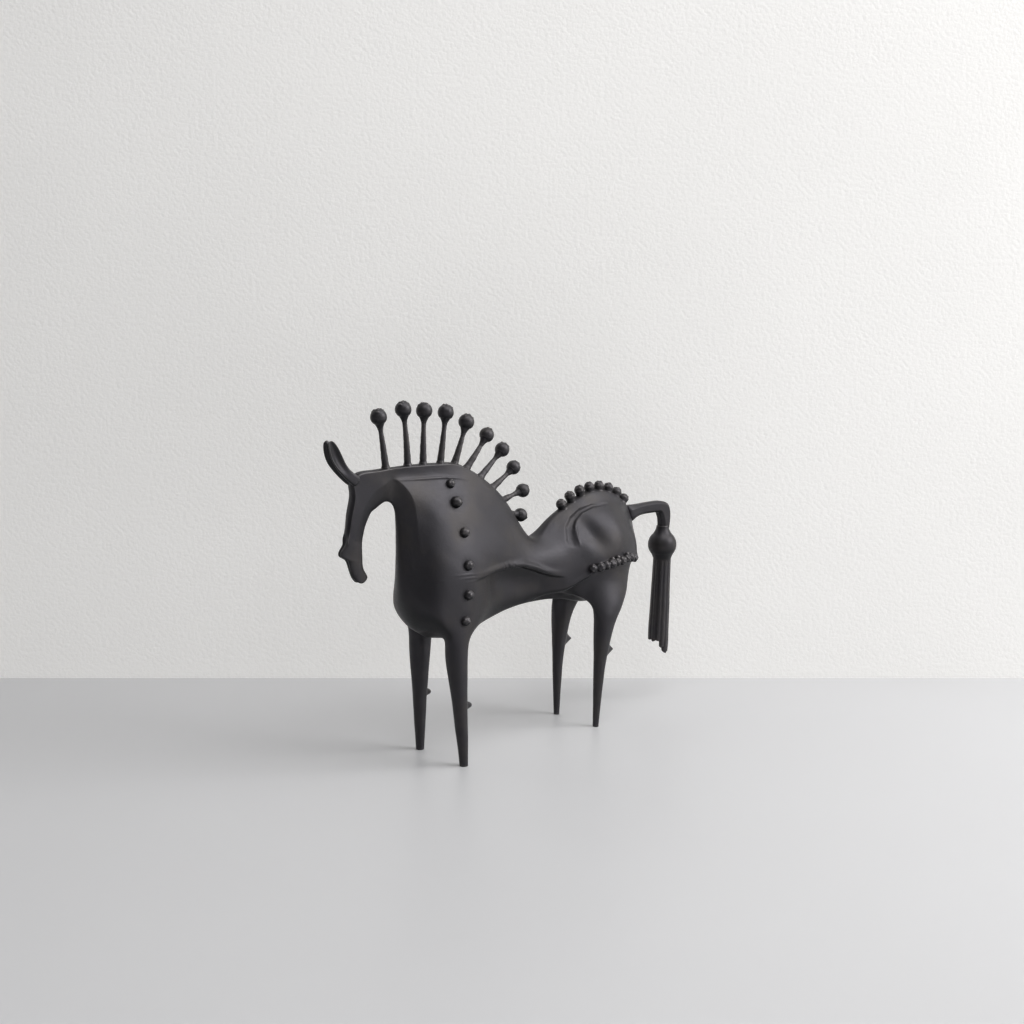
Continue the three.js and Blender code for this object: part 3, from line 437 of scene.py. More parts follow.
@functools.lru_cache(maxsize=None)
def black_patina(name, wear, coarse):
    """Blackened and waxed bronze, with painted shade darkening the surfaces that face down.
    wear is how rubbed the high spots are, coarse the grain.
    """
    look = bpy.context.scene.horse_patina
    bench = Bench(name)
    clouds = bench.noise(34 * MM, detail=4, rough=0.6)
    patches = bench.noise(7 * MM, detail=3)
    lumps = bench.noise(2.6 * MM, detail=3, rough=0.55)
    grain = bench.noise(0.55 * MM, detail=2, rough=0.6)
    strokes = bench.noise(1.1 * MM, detail=2, rough=0.7, stretch=(0.14, 0.14, 1.6))
    high = bench.node("ShaderNodeAttribute", {"attribute_name": HIGH_SPOTS}, {})
    toned = bench.blend(clouds.between(0.42, 0.68) * 0.8, opaque(look.black),
                        opaque(look.brown))
    # Painted shade: surfaces that face down are blended to the near-black under-shade colour,
    # as if shade fell under them. The same share keeps rubbed wear off these undersides.
    facing = bench.node("ShaderNodeSeparateXYZ", {}, {
        0: bench.node("ShaderNodeNewGeometry", {}, {}).outputs["Normal"]})
    unshaded_and_handled = Amount(bench, facing.outputs["Z"]).between(-0.5, 0.06)
    rub = Amount(bench, high.outputs["Fac"]) * (0.35 + 0.65 * patches) * wear
    rub = rub * unshaded_and_handled
    toned = bench.blend(unshaded_and_handled, opaque(look.painted_under_shade), toned)
    worn = bench.blend(rub, toned, opaque(look.rubbed))
    rough = look.roughness + (clouds - 0.5) * 0.22 + (lumps - 0.5) * 0.12
    rough = rough + (strokes - 0.5) * 0.1 - rub * 0.12
    relief = grain * (0.45 * coarse) + lumps * 0.8 + strokes * 0.35
    skin = bench.node("ShaderNodeBump", {}, {"Strength": 0.55, "Distance": look.grain,
                                             "Height": relief})
    return bench.finish(bench.node("ShaderNodeBsdfPrincipled", {}, {
        "Base Color": worn, "Roughness": rough, "Metallic": 0.7,
        "Normal": skin.outputs["Normal"]}))


def body_finish():
    return black_patina("blackened_bronze_body", 0.5, 1.0)


def bead_finish():
    return black_patina("blackened_bronze_beads", 0.9, 1.8)


def tassel_finish():
    return black_patina("blackened_bronze_tassel", 0.6, 1.3)


# ---- Mesh making -------------------------------------------------

def mix(first, second, share):
    return first + (second - first) * share


def smooth_step(value, low, high):
    share = np.clip((value - low) / (high - low), 0, 1)
    return share * share * (3 - 2 * share)


def beside(x, z, path):
    """Each point's distance from a path of (x, z, reach, height), with the reach and height of
    the path beside it."""
    nearest = np.full(x.shape, np.inf)
    reach = np.zeros(x.shape)
    height = np.zeros(x.shape)
    for (x0, z0, r0, h0), (x1, z1, r1, h1) in zip(path, path[1:]):
        length = (x1 - x0) ** 2 + (z1 - z0) ** 2
        share = np.clip(((x - x0) * (x1 - x0) + (z - z0) * (z1 - z0)) / length, 0, 1)
        gap = np.hypot(x - mix(x0, x1, share), z - mix(z0, z1, share))
        closer = gap < nearest
        nearest = np.where(closer, gap, nearest)
        reach = np.where(closer, mix(r0, r1, share), reach)
        height = np.where(closer, mix(h0, h1, share), height)
    return nearest, reach, height


def mesh_of(points, faces):
    mesh = bpy.data.meshes.new("piece")
    mesh.from_pydata([tuple(p) for p in points], [], faces)
    mesh.update()
    return mesh


def points_of(mesh, attribute="co"):
    values = np.empty(len(mesh.vertices) * 3)
    mesh.vertices.foreach_get(attribute, values)
    return values.reshape(-1, 3)


def move_points(mesh, points):
    mesh.vertices.foreach_set("co", np.asarray(points).ravel())
    mesh.update()


def worked(mesh, *steps):
    """The mesh after modifiers, each a kind and its settings."""
    blank = bpy.data.objects.new("blank", mesh)
    bpy.context.scene.collection.objects.link(blank)
    for kind, settings in steps:
        modifier = blank.modifiers.new(kind.lower(), kind)
        for key, value in settings.items():
            setattr(modifier, key, value)
    view = bpy.context.evaluated_depsgraph_get()
    result = bpy.data.meshes.new_from_object(blank.evaluated_get(view))
    bpy.data.objects.remove(blank)
    bpy.data.meshes.remove(mesh)
    return result


def subdivided(mesh, levels):
    return worked(mesh, ("SUBSURF", {"levels": levels, "use_limit_surface": True}))


def set_creases(mesh, sharpness):
    """Creases the edges whose two corners are keys of sharpness."""
    layer = mesh.attributes.new("crease_edge", "FLOAT", "EDGE")
    for edge in mesh.edges:
        layer.data[edge.index].value = sharpness.get(tuple(sorted(edge.vertices)), 0)


def mark_high_spots(mesh, bends):
    """Stores 0 where the skin bends out less than the first of bends and 1 from the second."""
    points = points_of(mesh)
    normals = points_of(mesh, "normal")
    ends = np.empty(len(mesh.edges) * 2, dtype=np.int64)
    mesh.edges.foreach_get("vertices", ends)
    first, second = ends.reshape(-1, 2).T
    bend = np.zeros(len(points))
    for here, there in ((first, second), (second, first)):
        run = points[here] - points[there]
        rise = np.einsum("ij,ij->i", run, normals[here])
        np.add.at(bend, here, 2 * rise / np.maximum(np.einsum("ij,ij->i", run, run), 1e-6))
    count = np.maximum(np.bincount(ends, minlength=len(points)), 1)
    bend /= count
    for _ in range(3):
        around = np.zeros(len(points))
        np.add.at(around, first, bend[second])
        np.add.at(around, second, bend[first])
        bend = (bend + around / count) / 2
    layer = mesh.attributes.new(HIGH_SPOTS, "FLOAT", "POINT")
    layer.data.foreach_set("value", smooth_step(bend, *bends))


def add_piece(name, mesh, node, finish):
    """Makes a piece from a mesh in the horse's millimetres. It rides on the horse and stands
    for one node of the frame."""
    if not mesh.polygons:
        raise RuntimeError(f"{name} has no faces")
    if HIGH_SPOTS not in mesh.attributes:
        mark_high_spots(mesh, SMALL_BENDS)
    move_points(mesh, in_frame(points_of(mesh)))
    mesh.name = name
    mesh.shade_smooth()
    mesh.materials.clear()
    mesh.materials.append(finish)
    piece = bpy.data.objects.new(name, mesh)
    bpy.context.scene.collection.objects.link(piece)
    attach(piece, BODY)
    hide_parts(node)


def tube_faces(rings, sides):
    """Faces round a stack of rings of corners, and over its two ends."""
    last = (rings - 1) * sides
    faces = []
    for low in range(0, last, sides):
        for k in range(sides):
            after = (k + 1) % sides
            faces.append((low + k, low + after, low + sides + after, low + sides + k))
    return faces + [tuple(range(sides))[::-1], tuple(range(last, last + sides))]


def loft(rings, levels, crease=0.0):
    """A closed smooth skin over rings of points, with creases along its length."""
    sides = len(rings[0])
    mesh = mesh_of([p for ring in rings for p in ring], tube_faces(len(rings), sides))
    set_creases(mesh, {(k, k + sides): crease for k in range((len(rings) - 1) * sides)})
    return subdivided(mesh, levels)


def swept(stations, section_at, side):
    """Rings of section points along stations in a plane of constant y."""
    centres = [Vector((x, w * side, z)) for (x, w, z), *_ in stations]
    rings = []
    for i, centre in enumerate(centres):
        run = centres[min(i + 1, len(centres) - 1)] - centres[max(i - 1, 0)]
        run.y = 0
        run.normalize()
        up = Vector((-run.z, 0, run.x))
        across = Vector((0, side, 0))
        deep, wide = stations[i][1:3]
        rings.append([centre + up * (deep * u) + across * (wide * v)
                      for u, v in section_at(stations[i])])
    return rings if side > 0 else [ring[::-1] for ring in rings]


def profile_curve(points, steps=6):
    """A smooth line through (radius, height) points."""
    line = []
    for i in range(len(points) - 1):
        before = Vector(points[max(i - 1, 0)])
        start = Vector(points[i])
        end = Vector(points[i + 1])
        after = Vector(points[min(i + 2, len(points) - 1)])
        for step in range(steps):
            t = step / steps
            at = 0.5 * ((2 * start) + (end - before) * t
                        + (2 * before - 5 * start + 4 * end - after) * t ** 2
                        + (3 * start - before - 3 * end + after) * t ** 3)
            line.append((max(at.x, 0.02), at.y))
    line.append(tuple(points[-1]))
    return line


def turned(profile, sides):
    """Points and faces of a round solid about +Z from a (radius, height) profile."""
    turn = np.arange(sides) * 2 * math.pi / sides
    rings = [np.column_stack([radius * np.cos(turn), radius * np.sin(turn),
                              np.full(sides, height)]) for radius, height in profile]
    return np.vstack(rings), tube_faces(len(profile), sides)


def turn_to(points, place, direction):
    """Points made along +Z, turned to a direction and moved to a place."""
    spin = Vector((0, 0, 1)).rotation_difference(Vector(direction)).to_matrix()
    return points @ np.array(spin).T + np.asarray(place)


def nub_directions(draw, out, rings):
    """Directions in rings round an outward one, each with a nub's share of the height."""
    spin = Vector((0, 0, 1)).rotation_difference(Vector(out))
    nubs = []
    for count, tilt in rings:
        start = draw.uniform(0, 2 * math.pi)
        for k in range(count):
            turn = start + 2 * math.pi * k / count + draw.uniform(-0.3, 0.3)
            lean = tilt + draw.uniform(-0.08, 0.08)
            nub = Vector((math.sin(lean) * math.cos(turn), math.sin(lean) * math.sin(turn),
                          math.cos(lean)))
            nubs.append((spin @ nub, draw.uniform(0.45, 1)))
    return nubs


def nubbed(points, centre, radius, nubs, draw, out=(0, 0, 1)):
    """Raises small round nubs on the part of a surface that lies on a ball."""
    ray = points - centre
    length = np.linalg.norm(ray, axis=1)
    ray = ray / length[:, None]
    on_ball = smooth_step(length, radius * 0.8, radius * 0.97)
    lift = np.zeros(len(points))
    for nub, share in nub_directions(draw, out, nubs["rings"]):
        angle = np.arccos(np.clip(ray @ np.asarray(nub), -1, 1))
        lift = np.maximum(lift, share * np.exp(-(angle / nubs["spread"]) ** 2))
    height = bpy.context.scene.horse_sizes.nub_height / MM * nubs["share"]
    return points + ray * (lift * height * on_ball)[:, None]


def ball_points(centre, radius, fineness):
    """Points and faces of an even ball."""
    shell = bmesh.new()
    bmesh.ops.create_icosphere(shell, subdivisions=fineness, radius=radius)
    points = np.array([v.co for v in shell.verts]) + np.asarray(centre)
    faces = [tuple(v.index for v in face.verts) for face in shell.faces]
    shell.free()
    return points, faces


def fused(shapes, cell, smoothing):
    """One closed skin round overlapping shapes, each given as points and faces."""
    points = []
    faces = []
    for shape_points, shape_faces in shapes:
        start = len(points)
        points.extend(shape_points)
        faces.extend(tuple(start + k for k in face) for face in shape_faces)
    return worked(mesh_of(points, faces),
                  ("REMESH", {"mode": "VOXEL", "voxel_size": cell, "use_smooth_shade": True}),
                  ("SMOOTH", {"factor": 0.5, "iterations": smoothing}))


def waved(mesh, height):
    """Lays the low waves of handwork over a skin."""
    points = points_of(mesh)
    move_points(mesh, points + points_of(mesh, "normal")
                * (height * hand_waves(points))[:, None])


# ---- Places taken from the frame ---------------------------------

def node_points(node):
    """The corners of a node, each once, in the horse's own millimetres."""
    corners = np.array([v.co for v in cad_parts[node].data.vertices])
    return np.unique(from_frame(corners).round(3), axis=0)


def turned_node(node):
    """The tip, outward direction and head radius of a round node with a peg."""
    points = node_points(node)
    middle = points.mean(axis=0)
    spread, axes = np.linalg.eigh(np.cov((points - middle).T))
    out = axes[:, 2] if spread[2] - spread[1] > spread[1] - spread[0] else axes[:, 0]
    along = (points - middle) @ out
    radius = np.linalg.norm(points - middle - np.outer(along, out), axis=1)
    if along[radius > 0.7 * radius.max()].mean() < along.mean():
        out, along = -out, -along
    return middle + out * along.max(), out, radius.max()


def croup_ball(node):
    """The centre and radius of a croup bead, whose peg points to the middle of the croup."""
    low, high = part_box(node)
    radius = (high.y - low.y) / 2
    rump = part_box("croup_bead_05")[0].x
    x = low.x + radius if low.x < rump else high.x - radius
    return from_frame((x, 0, high.z - radius)), radius / MM


# ---- The skin ----------------------------------------------------

class Cage:
    """A coarse closed skin of corners, faces and creased edges."""

    def __init__(self):
        self.corners = []
        self.faces = []
        self.creases = {}
        self.found = {}

    def corner(self, point, side):
        x, w, z = point
        place = (x, round(w * side, 3) + 0.0, z)
        if place not in self.found:
            self.found[place] = len(self.corners)
            self.corners.append(place)
        return self.found[place]

    def face(self, corners, side):
        """On the left side a face is wound as given. On the right it is turned round."""
        face = [self.corner(point, side) for point in corners]
        self.faces.append(face if side < 0 else face[::-1])

    def crease(self, line, side):
        corners = [self.corner(point, side) for point in line]
        for pair in zip(corners, corners[1:]):
            self.creases[tuple(sorted(pair))] = 1.0

    def limit(self):
        """The matrix from corners to where each one ends on the smooth skin."""
        count = len(self.corners)
        joined = [set() for _ in range(count)]
        round_it = [[] for _ in range(count)]
        for face in self.faces:
            for k, corner in enumerate(face):
                joined[corner].update((face[k - 1], face[(k + 1) % len(face)]))
                round_it[corner].append(face)
        matrix = np.zeros((count, count))
        for corner in range(count):
            row = matrix[corner]
            sharp = [k for k in joined[corner]
                     if tuple(sorted((corner, k))) in self.creases]
            if len(sharp) == 2:
                row[corner] = 4 / 6
                row[sharp] += 1 / 6
            elif len(sharp) > 2:
                row[corner] = 1
            else:
                n = len(joined[corner])
                row[corner] = n * (n - 3) + 2 * n
                row[list(joined[corner])] += 2
                for face in round_it[corner]:
                    row[face] += 4 / len(face)
                row /= n * (n + 5)
        return matrix

    def through_corners(self, rounds=12):
        """Corners moved out until the smooth skin passes through the drawn ones."""
        drawn = np.array(self.corners, dtype=float)
        matrix = self.limit()
        moved = drawn.copy()
        for _ in range(rounds):
            moved = moved + drawn - matrix @ moved
        return moved


def leg_ring(leg):
    x, w, half_length, half_width, z = leg
    turns = [math.radians(angle) for angle in RING_ANGLES]
    return [(x - half_length * math.cos(t), w + half_width * math.sin(t), z) for t in turns]


def horse_cage():
    cage = Cage()
    rows = [[None, *row] for row in NECK_TOP_ROWS] + FLANK_ROWS
    outer_root = len(rows) - 3
    for side in SIDES.values():
        for r, (upper, lower) in enumerate(zip(rows, rows[1:])):
            for s in range(len(upper) - 1):
                on_leg = r == outer_root and any(low <= s < high for low, high, _ in LEGS)
                if upper[s] and not on_leg:
                    cage.face([upper[s], lower[s], lower[s + 1], upper[s + 1]], side)
        for low, high, rings in LEGS:
            root = rows[outer_root][low:high + 1] + rows[outer_root + 1][low:high + 1][::-1]
            loops = [root] + [leg_ring(ring) for ring in rings]
            for upper, lower in zip(loops, loops[1:]):
                for k, corner in enumerate(upper):
                    after = (k + 1) % len(upper)
                    cage.face([corner, lower[k], lower[after], upper[after]], side)
            sole = loops[-1]
            cage.face([sole[0], sole[5], sole[4], sole[1]], side)
            cage.face([sole[1], sole[4], sole[3], sole[2]], side)
            cage.crease([*sole, sole[0]], side)
        rings = [[rows[0][1], rows[1][1], rows[2][1], rows[2][0]], *HEAD_RINGS]
        for ring, after in zip(rings, rings[1:]):
            for k in range(3):
                cage.face([ring[k], after[k], after[k + 1], ring[k + 1]], side)
        chin = rings[-1]
        cage.face([chin[0], chin[3], chin[2], chin[1]], side)
        # The edges of the brow, the side of the face, the crest and the front of the neck
        cage.crease([ring[1] for ring in rings[:9]], side)
        cage.crease([ring[2] for ring in rings[:8]], side)
        cage.crease(rows[1][1:8], side)
        cage.crease([row[1] for row in rows[2:6]], side)
    return cage


def refine(mesh, wanted):
    """Divides once the faces whose middle is wanted."""
    middles = np.empty(len(mesh.polygons) * 3)
    mesh.polygons.foreach_get("center", middles)
    x, y, z = middles.reshape(-1, 3).T
    chosen = np.flatnonzero(wanted(x, np.abs(y), z))
    shape = bmesh.new()
    shape.from_mesh(mesh)
    shape.faces.ensure_lookup_table()
    edges = {edge for k in chosen for edge in shape.faces[k].edges}
    bmesh.ops.subdivide_edges(shape, edges=list(edges), cuts=1, use_grid_fill=True)
    shape.to_mesh(mesh)
    shape.free()
    mesh.update()


def near_worked_lines(x, w, z):
    lines = [(CHANNEL, 5), (CHANNEL_LIP, 2.5), (CREST_LIP, 2)]
    lines += [(mark, 1.4) for mark in TOOL_MARKS]
    lines += [([(*point, 0) for point in edge], 2.8) for edge in (HAUNCH_EDGE, WAIST_EDGE)]
    near = np.zeros(x.shape, dtype=bool)
    for path, reach in lines:
        near |= beside(x, z, path)[0] < reach
    return near & (w > 1.5)


def near_leg_swellings(x, w, z):
    near = np.zeros(x.shape, dtype=bool)
    for tip_x, tip_w, tip_z in (KNEE_BEAD["tip"], HOCK_SPUR["tip"]):
        near |= (x - tip_x) ** 2 + (w - tip_w) ** 2 + (z - tip_z) ** 2 < FINE_REACH ** 2
    return near


def flank_relief(x, w, z):
    """Height added along the skin's own outward direction."""
    gap, reach, depth = beside(x, z, CHANNEL)
    lift = -depth * (1 - smooth_step(gap, 0.15 * reach, reach))
    for path in (CHANNEL_LIP, CREST_LIP, *TOOL_MARKS):
        gap, reach, height = beside(x, z, path)
        lift += height * np.exp(-(gap / reach) ** 2)
    for (mid_x, mid_z), (length, width), height, (run, rise) in ROUNDS:
        along = (x - mid_x) * run + (z - mid_z) * rise
        across = (z - mid_z) * run - (x - mid_x) * rise
        lift += height * np.exp(-(along / length) ** 2 - (across / width) ** 2)
    return lift * smooth_step(w, 2, 4.5)


def set_in(x, w, z, edge, depth, fade):
    """How far the skin is set in under a rolled edge, fading out at a distance below it."""
    xs, heights, shares = zip(*edge)
    below = np.interp(x, xs, heights) - z
    inset = smooth_step(below, -0.4, 1.3) * (1 - smooth_step(below, 4, fade))
    roll = EDGE_ROLL * np.exp(-((below + 2.6) / 2.4) ** 2)
    return np.interp(x, xs, shares) * depth * (roll - inset) * smooth_step(w, 4, 9)


def stud_dents(points):
    """Shallow dents pressed into the shoulder round each stud, deepest at the second."""
    lift = np.zeros(len(points))
    for side in SIDES:
        for number in range(1, 7):
            tip, out, radius = turned_node(f"shoulder_stud_{side}_{number}")
            foot = tip - out * radius
            depth, reach = SECOND_STUD_DENT if number == 2 else STUD_DENT
            gap = np.linalg.norm(points - foot + (0, 0, 1), axis=1)
            lift -= depth * np.exp(-(gap / reach) ** 2)
    return lift


def leg_swellings(points, normals):
    """Pulls the knee bead and the hock spur out of the back of the legs."""
    x, w, z = points[:, 0], np.abs(points[:, 1]), points[:, 2]
    facing = smooth_step(normals[:, 0], 0.05, 0.45)
    pull = np.zeros(len(x))
    for swelling in (KNEE_BEAD, HOCK_SPUR):
        tip_x, tip_w, tip_z = swelling["tip"]
        half_width, half_height = swelling["half"]
        gap = np.hypot((w - tip_w) / half_width, (z - tip_z) / half_height)
        if swelling is KNEE_BEAD:
            shape = np.exp(-gap ** 4)
        else:
            shape = np.clip(1 - gap, 0, 1) ** 1.35
        far = np.clip(tip_x - x, 0, swelling["pull"]) * shape * facing
        pull += np.where(np.abs(x - tip_x) < swelling["reach"], far, 0)
    return np.column_stack([pull, np.zeros(len(x)), -0.12 * pull])


def hand_waves(points):
    """Low waves of a surface worked by hand, from -1 to 1."""
    x, y, z = points.T
    waves = np.sin(x / 7.3 + 1.3 * np.sin(z / 11.1) + y / 9)
    waves += np.sin(z / 6.1 + 1.1 * np.sin(x / 13.7) - y / 8)
    waves += 0.6 * np.sin((x + z) / 3.7 + 2 * np.sin(y / 5.3) + 0.9 * np.sin(z / 4.9))
    return waves / 2.6


@functools.lru_cache(maxsize=1)
def whole_skin():
    """The worked skin of the whole horse and its search tree, in the horse's millimetres."""
    sizes = bpy.context.scene.horse_sizes
    cage = horse_cage()
    mesh = mesh_of(cage.through_corners(), cage.faces)
    set_creases(mesh, cage.creases)
    mesh = subdivided(mesh, sizes.skin_levels)
    refine(mesh, near_worked_lines)
    refine(mesh, near_leg_swellings)
    mesh = worked(mesh, ("SMOOTH", {"factor": 0.5, "iterations": 1}))
    points = points_of(mesh)
    normals = points_of(mesh, "normal")
    x, w, z = points[:, 0], np.abs(points[:, 1]), points[:, 2]
    lift = flank_relief(x, w, z)
    lift += set_in(x, w, z, HAUNCH_EDGE, sizes.haunch_inset / MM, HAUNCH_FADE)
    lift += set_in(x, w, z, WAIST_EDGE, sizes.waist_inset / MM, WAIST_FADE)
    lift += stud_dents(points)
    lift += hand_waves(points) * (sizes.waviness / MM) * smooth_step(z, 0, 20)
    points = points + normals * lift[:, None] + leg_swellings(points, normals)
    points[:, 2] = np.maximum(points[:, 2], 0)
    move_points(mesh, points)
    mark_high_spots(mesh, SKIN_BENDS)
    shape = bmesh.new()
    shape.from_mesh(mesh)
    tree = BVHTree.FromBMesh(shape)
    shape.free()
    return mesh, tree


def casting(node, *planes):
    """Makes the piece of the skin that lies behind each plane, given by a point and a
    direction, with its cuts closed."""
    shape = bmesh.new()
    shape.from_mesh(whole_skin()[0])
    for place, away in planes:
        everything = [*shape.verts, *shape.edges, *shape.faces]
        bmesh.ops.bisect_plane(shape, geom=everything, plane_co=place, plane_no=away,
                               clear_outer=True)
    rims = [edge for edge in shape.edges if edge.is_boundary]
    bmesh.ops.holes_fill(shape, edges=rims, sides=0)
    mesh = bpy.data.meshes.new(node)
    shape.to_mesh(mesh)
    rim_edges = [edge.index for edge in rims if edge.is_valid]
    shape.free()
    add_piece(f"{node}_casting", mesh, node, body_finish())
    sharp = mesh.attributes.new("sharp_edge", "BOOLEAN", "EDGE")
    for index in rim_edges:
        sharp.data[index].value = True


def flank(x, z, side):
    """The point of the skin at x and z on one side, and the direction straight out of it."""
    place, normal, _, _ = whole_skin()[1].ray_cast(Vector((x, side * 200, z)),
                                                   Vector((0, -side, 0)))
    if place is None:
        raise RuntimeError(f"no skin at x {x}, z {z}")
    return np.array(place), np.array(normal if normal.y * side > 0 else -normal)


class HORSE_OT_fore_body(Operator):
    """Casts the neck, chest and shoulders"""
    bl_idname = "horse.fore_body"
    bl_label = "Fore body"

    def execute(self, context):
        casting("fore_body", (NECK_JOINT, FORWARD), (WAIST_JOINT, BACKWARD),
                (FRONT_LEG_JOINT, DOWNWARD))
        return {"FINISHED"}


class HORSE_OT_hind_body(Operator):
    """Casts the waist, haunches and rump"""
    bl_idname = "horse.hind_body"
    bl_label = "Hind body"

    def execute(self, context):
        casting("hind_body", (WAIST_JOINT, FORWARD), (REAR_LEG_JOINT, DOWNWARD))
        return {"FINISHED"}


class HORSE_OT_head(Operator):
    """Casts the head from the throat arch to the jaw"""
    bl_idname = "horse.head"
    bl_label = "Head"

    def execute(self, context):
        casting("head", (NECK_JOINT, BACKWARD))
        return {"FINISHED"}


class HORSE_OT_legs(Operator):
    """Casts the four tapered legs with their knee bead or hock spur"""
    bl_idname = "horse.legs"
    bl_label = "Legs"

    def execute(self, context):
        ends = {"front": (FRONT_LEG_JOINT, BACKWARD), "rear": (REAR_LEG_JOINT, FORWARD)}
        for end, (joint, away) in ends.items():
            for name, side in SIDES.items():
                casting(f"leg_{end}_{name}", (joint, UPWARD), (WAIST_JOINT, away),
                        ((0, 0, 0), (0, -side, 0)))
        return {"FINISHED"}


def ball_profile(radius, height, turns, tip):
    """Profile of a ball at a height, at (first, last, step) degrees up from its foot."""
    line = [(radius * math.sin(turn), height - radius * math.cos(turn))
            for turn in np.radians(np.arange(*turns))]
    return line + [(tip, height + radius)]


def add_turned(node, points, faces, foot, out):
    """Makes a piece of a round shape that stands at a foot and points out."""
    mesh = mesh_of(turn_to(points, foot, out), faces)
    add_piece(f"{node}_cast", mesh, node, bead_finish())


class HORSE_OT_mane_pins(Operator):
    """Casts the tapered pins of the mane, each with its crowned ball"""
    bl_idname = "horse.mane_pins"
    bl_label = "Mane pins"

    def execute(self, context):
        for number in range(1, 11):
            draw = random.Random(number)
            node = f"mane_pin_{number:02d}"
            tip, out, radius = turned_node(node)
            radius *= 1.01
            ball = tip - out * radius
            foot = whole_skin()[1].ray_cast(Vector(ball), Vector(-out))[0]
            stem = (Vector(ball) - foot).length
            neck = max(stem - radius * 2, 4)
            thick, start = PIN_FOOT[-1]
            profile = PIN_FOOT + [(mix(thick, PIN_NECK, share), mix(start, neck, share))
                                  for share in (0.35, 0.7, 1)]
            profile += [(1.85, stem - radius * 1.55), (2.35, stem - radius * 1.2)]
            profile += ball_profile(radius, stem, (36, 176, 14), 0.05)
            points, faces = turned(profile_curve(profile), 40)
            height = points[:, 2].copy()
            lean = draw.uniform(0.2, 0.5)
            turn = draw.uniform(0, 2 * math.pi)
            bow = lean * np.sin(np.clip(height / stem, 0, 1) * math.pi)
            points[:, 0] += bow * math.cos(turn)
            points[:, 1] += bow * math.sin(turn)
            on_stem = 1 - smooth_step(height, stem - radius * 1.6, stem - radius)
            wobble = 0.03 * np.sin(height * 0.9 + number) + 0.02 * np.sin(height * 2.1)
            points[:, :2] *= (1 + wobble * on_stem)[:, None]
            points = nubbed(points, np.array((0, 0, stem)), radius, PIN_NUBS, draw)
            add_turned(node, points, faces, foot, out)
        return {"FINISHED"}


class HORSE_OT_croup_beads(Operator):
    """Casts the beads along the croup, each with a crown of nubs and a foot"""
    bl_idname = "horse.croup_beads"
    bl_label = "Croup beads"

    def execute(self, context):
        for number in range(1, 9):
            draw = random.Random(100 + number)
            node = f"croup_bead_{number:02d}"
            centre, radius = croup_ball(node)
            radius *= CROUP_SWELL
            foot, normal, _, _ = whole_skin()[1].find_nearest(Vector(centre))
            out = (Vector(centre) - foot).normalized() if normal.z < 0 else normal
            out = Vector((out.x, 0, out.z)).normalized()
            rise = (Vector(centre) - foot).dot(out)
            profile = [(radius * 1.05, -2.2), (radius * 1.02, -0.8), (radius * 0.9, 0.2),
                       (radius * 0.92, rise - radius * 0.5)]
            profile += ball_profile(radius, rise, (80, 176, 12), 0.04)
            points, faces = turned(profile_curve(profile, 5), 36)
            points = nubbed(points, np.array((0, 0, rise)), radius, CROUP_NUBS, draw)
            add_turned(node, points, faces, Vector(centre) - out * (rise + CROUP_SINK), out)
        return {"FINISHED"}


class HORSE_OT_shoulder_studs(Operator):
    """Casts the studs down both shoulders"""
    bl_idname = "horse.shoulder_studs"
    bl_label = "Shoulder studs"

    def execute(self, context):
        for side in SIDES:
            for number in range(1, 7):
                draw = random.Random(200 + number)
                node = f"shoulder_stud_{side}_{number}"
                tip, out, radius = turned_node(node)
                foot = whole_skin()[1].find_nearest(Vector(tip - out * radius))[0]
                rise = max((Vector(tip) - foot).dot(Vector(out)), radius * 0.9)
                profile = [(radius * r, rise * h) for r, h in STUD_DOME]
                points, faces = turned(profile_curve(profile), 36)
                points = nubbed(points, np.zeros(3), radius, STUD_NUBS, draw)
                add_turned(node, points, faces, foot, out)
        return {"FINISHED"}


class HORSE_OT_haunch_beads(Operator):
    """Casts the row of touching beads round each haunch as one strip"""
    bl_idname = "horse.haunch_beads"
    bl_label = "Haunch beads"

    def execute(self, context):
        cell = context.scene.horse_sizes.voxel / MM * 0.8
        for name, side in SIDES.items():
            draw = random.Random(300)
            node = f"haunch_beads_{name}"
            along = node_points(node)[:, 0]
            radius = HAUNCH_ROW["radius"]
            heights = HAUNCH_ROW["heights"]
            places = np.linspace(along.min() + radius, along.max() - radius * 0.9, len(heights))
            shapes = []
            for k, (x, z) in enumerate(zip(places, heights)):
                place, out = flank(x, z, side)
                size = radius * draw.uniform(*((0.94, 1.06) if k % 2 else (0.84, 0.95)))
                centre = place + out * HAUNCH_ROW["stand"]
                points, faces = ball_points(centre, size, 4)
                shapes.append((nubbed(points, centre, size, HAUNCH_NUBS, draw, out), faces))
                if k in DROPS["beads"]:
                    above = place + out * DROPS["stand"] + np.array(DROPS["place"])
                    shapes.append(ball_points(above, DROPS["radius"], 3))
            add_piece(f"{node}_cast", fused(shapes, cell, 2), node, bead_finish())
        return {"FINISHED"}


def ear_section(station):
    return [(u, mix(EAR_FLAT.get(k, v), v, station[3])) for k, (u, v) in enumerate(EAR_SECTION)]


class HORSE_OT_ears(Operator):
    """Casts the two cupped, leaf-shaped ears"""
    bl_idname = "horse.ears"
    bl_label = "Ears"

    def execute(self, context):
        for name, side in SIDES.items():
            mesh = loft(swept(EAR, ear_section, side), 3)
            add_piece(f"ear_{name}_cast", mesh, f"ear_{name}", body_finish())
        return {"FINISHED"}


def bar_section(station):
    """Eight points between a chamfered oblong and a round."""
    half = [(1, 0.5), (BAR_CHAMFER, 1), (-BAR_CHAMFER, 1), (-1, 0.5)]
    oblong = half + [(-u, -v) for u, v in half]
    turns = [math.radians(22.5 + 45 * k) for k in range(8)]
    circle = [(1.06 * math.cos(t), 1.06 * math.sin(t)) for t in turns]
    return [(mix(u, p, station[3]), mix(v, q, station[3]))
            for (u, v), (p, q) in zip(oblong, circle)]


